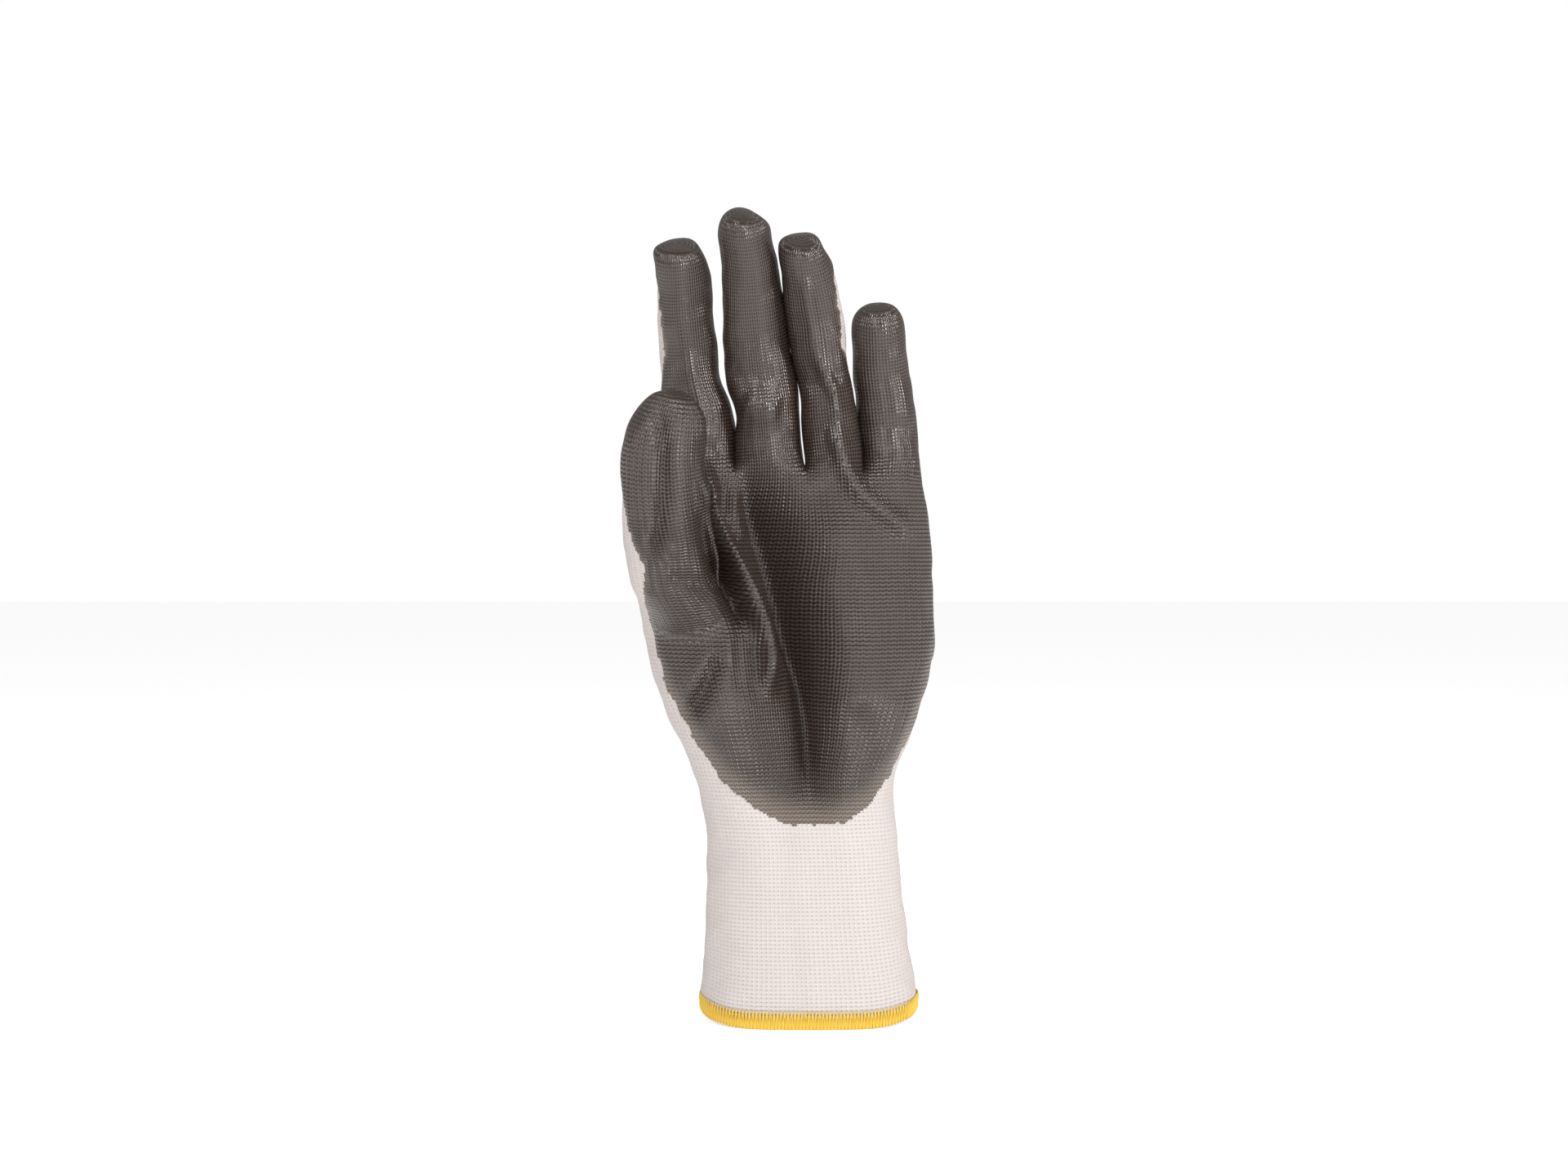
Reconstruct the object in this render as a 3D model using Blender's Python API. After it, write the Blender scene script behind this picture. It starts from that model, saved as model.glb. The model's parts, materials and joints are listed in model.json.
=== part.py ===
"""Knitted work glove for the left hand, with a dipped coating on the palm side.

The glove stands on its cuff hem, fingers up, palm towards -Y and thumb towards -X. Its origin is the
centre of the cuff opening, in the plane of the hem. One seamless knitted liner is cut at its bends into
rigid sections, a coating skin lies on the palm side of each section, and a narrow knitted band fills each
bend. A rubber thread runs round inside the cuff and an overlocked hem closes its edge.
"""

import math

import bmesh
import bpy
from mathutils import Vector

MM = 0.001
X_AXIS, Y_AXIS, Z_AXIS = Vector((1, 0, 0)), Vector((0, 1, 0)), Vector((0, 0, 1))

# Driving dimensions, in millimetres and degrees.
KNIT = 1.0  # wall of the knitted liner
COAT = 0.6  # wall of the coating
GAP = 0.3  # between pieces that touch
BEND_GAP = 1.2  # from a hinge axis to the nearest edge of either section
BAND_GAP = 0.5  # between a bend band and the sections beside it

# Outline of the hand tube by height: height, thumb side, little-finger side, palm face, back face.
TUBE = (
    (0.0, -30.0, 30.0, -20.4, 20.4),
    (8.0, -30.0, 30.0, -20.4, 20.4),
    (16.0, -29.6, 29.2, -20.0, 20.2),
    (38.0, -29.0, 26.8, -19.5, 20.0),
    (54.0, -29.0, 25.0, -19.5, 20.0),
    (66.0, -30.6, 23.8, -19.5, 19.5),
    (76.0, -33.4, 24.8, -20.0, 19.0),
    (88.0, -39.2, 29.6, -20.5, 18.0),
    (100.0, -43.4, 33.0, -20.0, 17.0),
    (112.0, -46.2, 35.2, -18.0, 16.0),
    (124.0, -47.0, 34.9, -15.5, 15.0),
    (136.0, -45.6, 34.6, -13.5, 14.0),
    (150.0, -44.2, 33.8, -12.0, 13.0),
    (162.0, -43.4, 32.8, -11.0, 11.8),
)
TUBE_SQUARENESS = 2.6  # exponent of the rounded-rectangle cross-section
CORNER = 0.9  # where the front and back columns end, as a share of the half width
LANES = (-CORNER, -0.43, 0.10, 0.53, CORNER)  # edges of the four finger lanes across the tube
LANE_COLUMNS = 4
# Swellings of the palm face: name, centre x, centre z, width, height, forward reach.
SWELLINGS = (
    ("thenar", -27.0, 108.0, 15.0, 30.0, 11.0),
    ("hypothenar", 20.0, 98.0, 15.0, 26.0, 3.0),
    ("palm_hollow", -3.0, 118.0, 9.0, 30.0, -4.0),
)
CROTCH_Z = 162.0
PALM_ROWS = (72.0, 80.0, 88.0, 96.0, 104.0, 111.0, 126.0)
THUMB_ROW = 126.0  # the row where the thumb leaves the tube
# Heights of the thumb's foot round its outer side, between the front and back ends of the web.
THUMB_FOOT = (118.5, 115.5, 114.5, 115.0, 118.0, 124.0, 130.0)
# Heights of the web, the crease over the thumb's inner side, with both its ends.
WEB = (124.5, 127.0, 129.5, 131.5, 133.5, 135.5, 137.5, 138.0, 135.0)
UPPER_ROWS = (145.0, 153.5)
CUFF_ROWS = (6.0, 20.0, 36.0, 48.0)

WRIST = {"z": 60.0, "flex": 30.0, "extend": 25.0}
HEM_HEIGHT, HEM_WALL, HEM_LIFT = 5.0, 0.9, 2.4
ELASTIC_RADIUS, ELASTIC_TURNS, ELASTIC_FROM, ELASTIC_TO = 0.35, 7, 9.0, 46.0
ELASTIC_STEPS = 24

FINGER_FLEX = (58.0, 78.0, 45.0)  # how far each hinge of a finger bends towards the palm
INDEX_FLEX = (45.0, 70.0, 40.0)  # less, because the thumb stands in front of the index finger
FINGER_EXTEND = (12.0, 5.0, 5.0)  # and away from it
# Each finger: root x and y at the crotch, sideways lean, bend of each hinge at rest, distance of each
# hinge and of the tip from the crotch, half widths and half depths at root, middle and tip.
FINGERS = {
    "index": {
        "flex": INDEX_FLEX, "root": (-34.0, 1.0), "lean": 2.2, "bends": (5.0, 12.0, 9.0),
        "hinges": (10.0, 34.0, 54.5), "length": 72.5, "widths": (8.5, 8.2, 7.4), "depths": (9.0, 8.6, 7.8),
    },
    "middle": {
        "flex": FINGER_FLEX, "root": (-11.0, -1.0), "lean": 6.0, "bends": (6.0, 13.0, 9.0),
        "hinges": (10.0, 38.0, 61.0), "length": 82.5, "widths": (8.3, 8.4, 7.6), "depths": (9.2, 8.9, 8.0),
    },
    "ring": {
        "flex": FINGER_FLEX, "root": (7.2, -1.6), "lean": 6.6, "bends": (6.0, 13.0, 10.0),
        "hinges": (10.0, 35.0, 55.5), "length": 74.0, "widths": (7.4, 7.2, 6.7), "depths": (8.8, 8.4, 7.6),
    },
    "little": {
        "flex": FINGER_FLEX, "root": (24.6, 1.8), "lean": 4.6, "bends": (4.0, 10.0, 8.0),
        "hinges": (10.0, 25.5, 37.5), "length": 52.5, "widths": (7.8, 7.8, 7.2), "depths": (8.4, 8.1, 7.4),
    },
}
FINGER_COLUMNS = 12
HINGE_DEPTH = 0.25  # hinge axis, as a share of the half depth, towards the palm

# The thumb: points on its centre line from the tube to the tip, half widths and half depths there.
THUMB_LINE = ((-37.0, -18.0, 126.0), (-40.2, -26.5, 138.0), (-42.4, -31.5, 152.0), (-43.0, -35.5, 168.0),
              (-40.0, -38.5, 186.0))
THUMB_WIDTHS = (12.6, 12.6, 12.4, 11.8, 9.6)
THUMB_DEPTHS = (11.0, 10.8, 10.4, 9.8, 8.6)
THUMB_COLUMNS = 16
THUMB_TWIST = 43.0  # from straight forward to the middle of the thumb's outer side, towards -X
THUMB_HINGES = (
    {"name": "root", "at": 0.22, "flex": 50.0, "extend": 6.0},
    {"name": "knuckle", "at": 0.58, "flex": 60.0, "extend": 8.0},
)
DOME_STEPS = (0.45, 0.75, 0.93)  # rings of a closed tip, as shares of its rounding length


def clear_scene():
    for old in list(bpy.data.objects):
        bpy.data.objects.remove(old, do_unlink=True)


def material(name, colour, roughness):
    made = bpy.data.materials.new(name)
    made.use_nodes = True
    shader = made.node_tree.nodes["Principled BSDF"]
    shader.inputs["Base Color"].default_value = (*colour, 1.0)
    shader.inputs["Roughness"].default_value = roughness
    shader.inputs["Metallic"].default_value = 0.0
    return made


def read_table(rows, at):
    """Each value of a table at one height, on a smooth curve through the table's rows."""
    if at <= rows[0][0]:
        return list(rows[0][1:])
    if at >= rows[-1][0]:
        return list(rows[-1][1:])
    i = next(k for k in range(len(rows) - 1) if rows[k + 1][0] > at)
    a, b = rows[i], rows[i + 1]
    before, after = rows[max(i - 1, 0)], rows[min(i + 2, len(rows) - 1)]
    span = b[0] - a[0]
    t = (at - a[0]) / span
    found = []
    for k in range(1, len(a)):
        slope_a = (b[k] - before[k]) / (b[0] - before[0]) * span
        slope_b = (after[k] - a[k]) / (after[0] - a[0]) * span
        found.append(
            (2 * t**3 - 3 * t**2 + 1) * a[k] + (t**3 - 2 * t**2 + t) * slope_a
            + (3 * t**2 - 2 * t**3) * b[k] + (t**3 - t**2) * slope_b
        )
    return found


def lane_share(column):
    """Where a front column lies across the tube, from -1 at the thumb side to 1."""
    lane, step = divmod(min(column, 4 * LANE_COLUMNS - 1), LANE_COLUMNS)
    if column == 4 * LANE_COLUMNS:
        return LANES[4]
    return LANES[lane] + (LANES[lane + 1] - LANES[lane]) * step / LANE_COLUMNS


FRONT_LAST = 4 * LANE_COLUMNS
RIGHT_SIDE = FRONT_LAST + 1
BACK_LAST = RIGHT_SIDE + FRONT_LAST + 1
LEFT_SIDE = BACK_LAST + 1
TUBE_COLUMNS = LEFT_SIDE + 1
WEB_COLUMN_FRONT, WEB_COLUMN_BACK = 5, BACK_LAST - 1


def tube_point(z, column):
    """A point of the tube's outside. Columns run round it: front from -X to +X, side, back, side."""
    left, right, front, back = read_table(TUBE, z)
    middle_x, half, middle_y = (left + right) / 2, (right - left) / 2, (front + back) / 2
    if column == RIGHT_SIDE:
        share, depth = 1.0, middle_y
    elif column == LEFT_SIDE:
        share, depth = -1.0, middle_y
    elif column <= FRONT_LAST:
        share, depth = lane_share(column), front
    else:
        share, depth = lane_share(BACK_LAST - column), back
    fullness = max(0.0, 1 - abs(share) ** TUBE_SQUARENESS) ** (1 / TUBE_SQUARENESS)
    x, y = middle_x + half * share, middle_y + (depth - middle_y) * fullness
    if column <= FRONT_LAST:
        for _, at_x, at_z, width, height, reach in SWELLINGS:
            y -= reach * math.exp(-((x - at_x) / width) ** 2 - ((z - at_z) / height) ** 2)
    return Vector((x, y, z))


def slanted(depth, cut_front, cut_back):
    """How far a section's edge stands back from the hinge, for a point this far on its palm side."""
    return BEND_GAP + (depth * cut_front if depth > 0 else -depth * cut_back)


def cut_slopes(flex, extend, bend=0.0):
    front = math.tan(math.radians(flex + bend) / 2)
    back = math.tan(math.radians(max(0.0, extend - bend)) / 2)
    return front, back


def finger_frame(spec):
    lean = math.radians(spec["lean"])
    up = Vector((-math.sin(lean), 0, math.cos(lean)))
    across = Vector((math.cos(lean), 0, math.sin(lean)))
    return up, across


def finger_corners(spec):
    """The finger's centre line: crotch, three hinges and tip."""
    up, across = finger_frame(spec)
    at = Vector((*spec["root"], CROTCH_Z))
    stops = (0.0, *spec["hinges"], spec["length"])
    corners, angle = [at], 0.0
    for i in range(4):
        if i:
            angle += math.radians(spec["bends"][i - 1])
        step = up * math.cos(angle) - Y_AXIS * math.sin(angle)
        at = at + step * (stops[i + 1] - stops[i])
        corners.append(at)
    return corners


def along(values, share):
    """Reads (root, middle, tip) values at a share of the length."""
    if share < 0.5:
        return values[0] + (values[1] - values[0]) * share * 2
    return values[1] + (values[2] - values[1]) * (share - 0.5) * 2


def ring(centre, across, forward, half_width, half_depth, columns, first_angle):
    """Points round an ellipse, and how far each lies towards the palm. They turn from first_angle,
    measured from -across towards forward."""
    points = []
    for k in range(columns):
        turn = first_angle + 2 * math.pi * k / columns
        depth = half_depth * math.sin(turn)
        points.append((centre - across * half_width * math.cos(turn) + forward * depth, depth))
    return points


def finger_edge(spec, hinge, after):
    """The slanted edge ring of a section beside a hinge: the section before it, or the one after it."""
    up, across = finger_frame(spec)
    corners = finger_corners(spec)
    section = hinge + 1 if after else hinge
    direction = (corners[section + 1] - corners[section]).normalized()
    forward = across.cross(direction)
    share = spec["hinges"][hinge] / spec["length"]
    width, depth = along(spec["widths"], share), along(spec["depths"], share)
    cut = cut_slopes(spec["flex"][hinge], FINGER_EXTEND[hinge], spec["bends"][hinge])
    points = []
    for point, towards_palm in ring(corners[hinge + 1], across, forward, width, depth, FINGER_COLUMNS,
                                    math.radians(30)):
        back_off = slanted(towards_palm - HINGE_DEPTH * depth, *cut)
        points.append(point + direction * (back_off if after else -back_off))
    return points


def finger_hinge_point(spec, hinge):
    up, across = finger_frame(spec)
    corners = finger_corners(spec)
    share = spec["hinges"][hinge] / spec["length"]
    forward = across.cross((corners[hinge + 1] - corners[hinge]).normalized())
    return corners[hinge + 1] + forward * HINGE_DEPTH * along(spec["depths"], share)


def dome_rings(base_centre, tip, across, half_width, half_depth, columns, first_angle):
    """Rings closing a tip, from its rounding's start, and the end point."""
    direction = (tip - base_centre).normalized()
    forward = across.cross(direction)
    reach = (tip - base_centre).length
    rings = []
    for step in DOME_STEPS:
        size = (1 - step**2.3) ** (1 / 2.3)
        centre = base_centre + direction * reach * step
        rings.append([p for p, _ in ring(centre, across, forward, half_width * size, half_depth * size,
                                         columns, first_angle)])
    return rings, tip


class Surface:
    """An open surface of quads, kept as points and faces, that becomes one solid when it gets a wall."""

    def __init__(self):
        self.points, self.faces, self.coated = [], [], []

    def add(self, points):
        first = len(self.points)
        self.points.extend(Vector(p) for p in points)
        return list(range(first, first + len(points)))

    def strip(self, lower, upper, coated=None, closed=True):
        """Quads between two rows of as many points. coated is a test on the column number."""
        count = len(lower)
        for k in range(count if closed else count - 1):
            n = (k + 1) % count
            self.faces.append((lower[k], lower[n], upper[n], upper[k]))
            self.coated.append(bool(coated and coated(k)))

    def cap(self, loop, tip, coated=False):
        top = self.add([tip])[0]
        for k in range(len(loop)):
            self.faces.append((loop[k], loop[(k + 1) % len(loop)], top))
            self.coated.append(coated)


def mesh_of(name, points, faces, pivot):
    mesh = bpy.data.meshes.new(name)
    mesh.from_pydata([(p - pivot) * MM for p in points], [], faces)
    made = bmesh.new()
    made.from_mesh(mesh)
    loose = [v for v in made.verts if not v.link_faces]
    bmesh.ops.delete(made, geom=loose, context="VERTS")
    made.to_mesh(mesh)
    made.free()
    mesh.update()
    return mesh


def outward_normals(surface):
    made = bmesh.new()
    corners = [made.verts.new(p) for p in surface.points]
    for face in surface.faces:
        made.faces.new([corners[i] for i in face])
    made.normal_update()
    normals = [v.normal.copy() for v in corners]
    made.free()
    return normals


def shell(name, surface, pivot, parent, look, wall, outward=False, only_coated=False):
    """One closed solid: the surface with a wall on its inner side, or the coating on its outer side."""
    faces = [f for f, c in zip(surface.faces, surface.coated, strict=True) if c or not only_coated]
    points = surface.points
    if outward:
        points = [p + n * GAP for p, n in zip(points, outward_normals(surface), strict=True)]
    made = bpy.data.objects.new(name, mesh_of(name, points, faces, pivot))
    bpy.context.scene.collection.objects.link(made)
    made.data.materials.append(look)
    made.parent = parent
    thick = made.modifiers.new("Wall", "SOLIDIFY")
    thick.thickness = wall * MM
    thick.offset = 1.0 if outward else -1.0
    thick.use_even_offset = True
    made.data.shade_smooth()
    return made


def pivot_empty(name, at, parent, parent_at):
    made = bpy.data.objects.new(name, None)
    bpy.context.scene.collection.objects.link(made)
    made.empty_display_size = 0.01
    made.location = (at - parent_at) * MM
    made.parent = parent
    return made


# ---- the tube: cuff and palm ----


def wrist_edge(upper):
    cut = cut_slopes(WRIST["flex"], WRIST["extend"])
    points = []
    for column in range(TUBE_COLUMNS):
        side = tube_point(WRIST["z"], column)
        off = slanted(-side.y, *cut)
        points.append(tube_point(WRIST["z"] + (off if upper else -off), column))
    return points


def cuff_bottom(column):
    """Height of the hem's underside: flat at the front and back, a little higher at the two sides."""
    share = abs(tube_point(0, column).x) / TUBE[0][2]
    return HEM_LIFT * max(0.0, (share - 0.5) / 0.5) ** 2


def raise_for_hem(point, column):
    lift = cuff_bottom(column) * max(0.0, 1 - point.z / CUFF_ROWS[1])
    return point + Z_AXIS * lift


def cuff_surface():
    surface = Surface()
    bottom = [raise_for_hem(tube_point(0, c), c) + Z_AXIS * (HEM_WALL + GAP) for c in range(TUBE_COLUMNS)]
    rows = [bottom]
    rows += [[raise_for_hem(tube_point(z, c), c) for c in range(TUBE_COLUMNS)] for z in CUFF_ROWS]
    rows.append(wrist_edge(upper=False))
    loops = [surface.add(r) for r in rows]
    for lower, upper in zip(loops, loops[1:]):
        surface.strip(lower, upper)
    return surface


def wrist_band():
    surface = Surface()
    lower = [p + Z_AXIS * GAP for p in wrist_edge(upper=False)]
    upper = [p - Z_AXIS * GAP for p in wrist_edge(upper=True)]
    surface.strip(surface.add(lower), surface.add(upper))
    return surface


def outline_normals(points):
    found = []
    for k in range(len(points)):
        edge = points[(k + 1) % len(points)] - points[k - 1]
        found.append(Vector((edge.y, -edge.x, 0)).normalized())
    return found


def hem_mesh():
    """The overlocked edge: a U wrapped round the bottom of the cuff wall, swept round the opening."""
    outer, inner = GAP + HEM_WALL, -(KNIT + GAP + HEM_WALL)
    profile = (
        (outer, 0.0), (outer, HEM_HEIGHT), (GAP, HEM_HEIGHT), (GAP, HEM_WALL), (-KNIT - GAP, HEM_WALL),
        (-KNIT - GAP, HEM_HEIGHT), (inner, HEM_HEIGHT), (inner, 0.0),
    )
    base = [tube_point(0, c) for c in range(TUBE_COLUMNS)]
    normals = outline_normals(base)
    points, faces = [], []
    for c in range(TUBE_COLUMNS):
        for out, z in profile:
            spot = base[c] + normals[c] * out + Z_AXIS * z
            points.append(raise_for_hem(spot, c))
    count = len(profile)
    for c in range(TUBE_COLUMNS):
        for k in range(count):
            here, there = c * count, (c + 1) % TUBE_COLUMNS * count
            n = (k + 1) % count
            faces.append((here + k, there + k, there + n, here + n))
    return points, faces


def elastic_points():
    """A helix laid against the inside of the cuff wall."""
    inset = KNIT + GAP + ELASTIC_RADIUS + 0.1
    points = []
    steps = ELASTIC_TURNS * ELASTIC_STEPS
    for i in range(steps + 1):
        z = ELASTIC_FROM + (ELASTIC_TO - ELASTIC_FROM) * i / steps
        outline = [tube_point(z, c) for c in range(TUBE_COLUMNS)]
        normals = outline_normals(outline)
        place = i % ELASTIC_STEPS / ELASTIC_STEPS * TUBE_COLUMNS
        c, part = int(place), place % 1
        n = (c + 1) % TUBE_COLUMNS
        on_wall = outline[c].lerp(outline[n], part)
        points.append(on_wall - normals[c].lerp(normals[n], part).normalized() * inset)
    return points


def palm_coat_edge(x):
    """Height of the coating's lower edge across the palm: a round tongue, higher at the thumb side."""
    if x < 0:
        return 58.0 + 26.0 * (-x / 34.0) ** 2.2
    return 58.0 + 17.0 * (x / 25.0) ** 2.2


def palm_surface():
    """The palm tube with four finger stubs and the root of the thumb, as one sheet."""
    surface = Surface()
    rows = [wrist_edge(upper=True)]
    rows += [[tube_point(z, c) for c in range(TUBE_COLUMNS)] for z in PALM_ROWS[:-1]]
    split = [tube_point(THUMB_ROW, c) for c in range(TUBE_COLUMNS)]
    for column, z in zip(thumb_outer_columns()[1:-1], THUMB_FOOT, strict=True):
        split[column] = tube_point(z, column)
    crease = web_points()
    split[WEB_COLUMN_FRONT], split[WEB_COLUMN_BACK] = crease[0], crease[-1]
    rows.append(split)
    loops = [surface.add(r) for r in rows]

    def lower_coat(z):
        middle = z

        def test(k):
            spot = tube_point(middle, k).lerp(tube_point(middle, (k + 1) % TUBE_COLUMNS), 0.5)
            if k == FRONT_LAST:
                return middle > 84
            if k > FRONT_LAST:
                return False
            return middle > palm_coat_edge(spot.x)

        return test

    heights = (64.0, *PALM_ROWS)
    for i, (lower, upper) in enumerate(zip(loops, loops[1:])):
        surface.strip(lower, upper, lower_coat((heights[i] + heights[i + 1]) / 2))

    # Above the thumb's root the ring goes on along the web instead of round the thumb.
    web = surface.add(crease[1:-1])
    ring_ids = list(loops[-1])
    for column, point in zip(thumb_outer_columns()[1:-1], web, strict=True):
        ring_ids[column] = point
    last = ring_ids
    heights = (THUMB_ROW, *UPPER_ROWS, CROTCH_Z)
    for i, z in enumerate((*UPPER_ROWS, CROTCH_Z)):
        row = surface.add([tube_point(z, c) for c in range(TUBE_COLUMNS)])
        surface.strip(last, row, lambda k: k <= FRONT_LAST or k == LEFT_SIDE)
        last = row
    add_finger_stubs(surface, last)
    add_thumb_stub(surface, loops[-1], web)
    return surface


def add_finger_stubs(surface, crotch_row):
    """Four short tubes from the crotch row. Neighbours share the strip between them."""
    middles = []
    for i in (1, 2, 3):
        front = surface.points[crotch_row[4 * i]]
        back = surface.points[crotch_row[BACK_LAST - 4 * i]]
        middles.append(surface.add([(front + back) / 2])[0])
    sides = [crotch_row[LEFT_SIDE], *middles, crotch_row[RIGHT_SIDE]]
    for i, spec in enumerate(FINGERS.values()):
        root = [crotch_row[4 * i + j] for j in range(5)] + [sides[i + 1]]
        root += [crotch_row[BACK_LAST - 4 * (i + 1) + j] for j in range(5)] + [sides[i]]
        edge = surface.add(finger_edge(spec, 0, after=False))
        surface.strip(root, edge, lambda k: k < 4)


# ---- the thumb ----


def thumb_outer_columns():
    """The tube's columns that turn into the thumb's outer side, from its front end to its back end."""
    return list(range(WEB_COLUMN_FRONT, -1, -1)) + [LEFT_SIDE, BACK_LAST, WEB_COLUMN_BACK]


def thumb_spot(share):
    """Centre, direction, half width and half depth of the thumb at a share of its length."""
    count = len(THUMB_LINE) - 1
    rows = [(i / count, *THUMB_LINE[i], THUMB_WIDTHS[i], THUMB_DEPTHS[i]) for i in range(count + 1)]
    x, y, z, width, depth = read_table(rows, share)
    ahead, behind = read_table(rows, min(1.0, share + 0.02)), read_table(rows, max(0.0, share - 0.02))
    direction = (Vector(ahead[:3]) - Vector(behind[:3])).normalized()
    return Vector((x, y, z)), direction, width, depth


def thumb_axes(direction):
    """Across and forward of the thumb's ring: forward is -Y made square to the thumb."""
    across = (-Y_AXIS).cross(direction).normalized()
    if across.x < 0:
        across = -across
    return across, across.cross(direction)


def thumb_ring_at(share, shift=None):
    """Points round the thumb, from the front of the web over the outer side to the back, and home."""
    centre, direction, width, depth = thumb_spot(share)
    across, forward = thumb_axes(direction)
    points = []
    for k in range(THUMB_COLUMNS):
        turn = math.radians(THUMB_TWIST + 90) - 2 * math.pi * k / THUMB_COLUMNS
        offset = forward * depth * math.sin(turn) - across * width * math.cos(turn)
        if shift:
            offset = offset + direction * shift(offset)
        points.append(centre + offset)
    return points


def web_points():
    """The crease between thumb and palm, on the tube, from its front end to its back end."""
    return [tube_point(z, column) for z, column in zip(WEB, thumb_outer_columns(), strict=True)]


def add_thumb_stub(surface, split_loop, web):
    outer = [split_loop[c] for c in thumb_outer_columns()]
    root = outer + list(reversed(web))
    edge = surface.add(thumb_edge(0, after=False))
    first = len(surface.faces)
    surface.strip(root, edge, thumb_coated)
    for i in range(first, len(surface.faces)):
        surface.faces[i] = tuple(reversed(surface.faces[i]))


def thumb_coated(k):
    return k <= 5 or k >= 10


def thumb_hinge(hinge):
    """Hinge point, its axis, and the slopes of the two edges beside it."""
    spec = THUMB_HINGES[hinge]
    centre, direction, width, depth = thumb_spot(spec["at"])
    across, forward = thumb_axes(direction)
    if spec["name"] == "root":
        axis, towards = across, forward
    else:
        axis, towards = -forward, across
    return centre, direction, axis, towards, cut_slopes(spec["flex"], spec["extend"], 8.0)


def thumb_edge(hinge, after):
    centre, direction, axis, towards, cut = thumb_hinge(hinge)
    sign = 1 if after else -1

    def shift(offset):
        return sign * slanted(offset.dot(towards), *cut)

    return thumb_ring_at(THUMB_HINGES[hinge]["at"], shift)


def add_objects():
    knit = material("knit_white", (0.83, 0.79, 0.77), 0.9)
    coat = material("coating_grey", (0.09, 0.08, 0.075), 0.45)
    hem = material("hem_yellow", (0.85, 0.55, 0.03), 0.8)
    elastic = material("elastic_white", (0.9, 0.9, 0.88), 0.6)
    ground = Vector((0, 0, 0))
    wrist_at = Vector((0, 0, WRIST["z"]))

    shell("cuff_knit", cuff_surface(), ground, None, knit, KNIT)
    shell("wrist_bend", wrist_band(), ground, None, knit, KNIT)
    points, faces = hem_mesh()
    hem_object = bpy.data.objects.new("cuff_hem", mesh_of("cuff_hem", points, faces, ground))
    bpy.context.scene.collection.objects.link(hem_object)
    hem_object.data.materials.append(hem)
    add_elastic(elastic)

    wrist = pivot_empty("wrist_pivot", wrist_at, None, ground)
    palm = palm_surface()
    shell("palm_knit", palm, wrist_at, wrist, knit, KNIT)
    shell("palm_coating", palm, wrist_at, wrist, coat, COAT, outward=True, only_coated=True)
    for name, spec in FINGERS.items():
        add_finger(name, spec, wrist, wrist_at, knit, coat)
    add_thumb(wrist, wrist_at, knit, coat)


def add_elastic(look):
    line = bpy.data.curves.new("cuff_elastic", "CURVE")
    line.dimensions = "3D"
    line.bevel_depth = ELASTIC_RADIUS * MM
    line.bevel_resolution = 0
    line.use_fill_caps = True
    path = line.splines.new("POLY")
    points = elastic_points()
    path.points.add(len(points) - 1)
    for place, point in zip(path.points, points, strict=True):
        place.co = (*(point * MM), 1)
    made = bpy.data.objects.new("cuff_elastic", line)
    bpy.context.scene.collection.objects.link(made)
    line.materials.append(look)


def band_surface(lower, upper, direction_low, direction_high, flip=False):
    surface = Surface()
    low = surface.add([p + direction_low * BAND_GAP for p in lower])
    high = surface.add([p - direction_high * BAND_GAP for p in upper])
    surface.strip(low, high)
    if flip:
        surface.faces = [tuple(reversed(f)) for f in surface.faces]
    return surface


def add_finger(name, spec, parent, parent_at, knit, coat):
    corners = finger_corners(spec)
    up, across = finger_frame(spec)
    labels = ("proximal", "middle", "tip")
    for hinge, label in enumerate(labels):
        at = finger_hinge_point(spec, hinge)
        before = (corners[hinge + 1] - corners[hinge]).normalized()
        after = (corners[hinge + 2] - corners[hinge + 1]).normalized()
        band = band_surface(finger_edge(spec, hinge, False), finger_edge(spec, hinge, True), before, after)
        shell(f"{name}_{label}_bend", band, parent_at, parent, knit, KNIT)
        pivot = pivot_empty(f"{name}_{label}_pivot", at, parent, parent_at)
        surface = Surface()
        low = surface.add(finger_edge(spec, hinge, after=True))

        def front(k):
            return k < 4 or k in (4, 11)

        if label != "tip":
            high = surface.add(finger_edge(spec, hinge + 1, after=False))
            surface.strip(low, high, front)
        else:
            share = 0.9
            rounding = 1.15 * spec["widths"][2]
            base = corners[-1] - after * rounding
            width, depth = along(spec["widths"], share), along(spec["depths"], share)
            first = math.radians(30)
            loop = low
            rings, tip = dome_rings(base, corners[-1], across, width, depth, FINGER_COLUMNS, first)
            for points in rings:
                following = surface.add(points)
                surface.strip(loop, following, lambda k: True)
                loop = following
            surface.cap(loop, tip, True)
        shell(f"{name}_{label}_knit", surface, at, pivot, knit, KNIT)
        shell(f"{name}_{label}_coating", surface, at, pivot, coat, COAT, outward=True, only_coated=True)
        parent, parent_at = pivot, at


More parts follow.
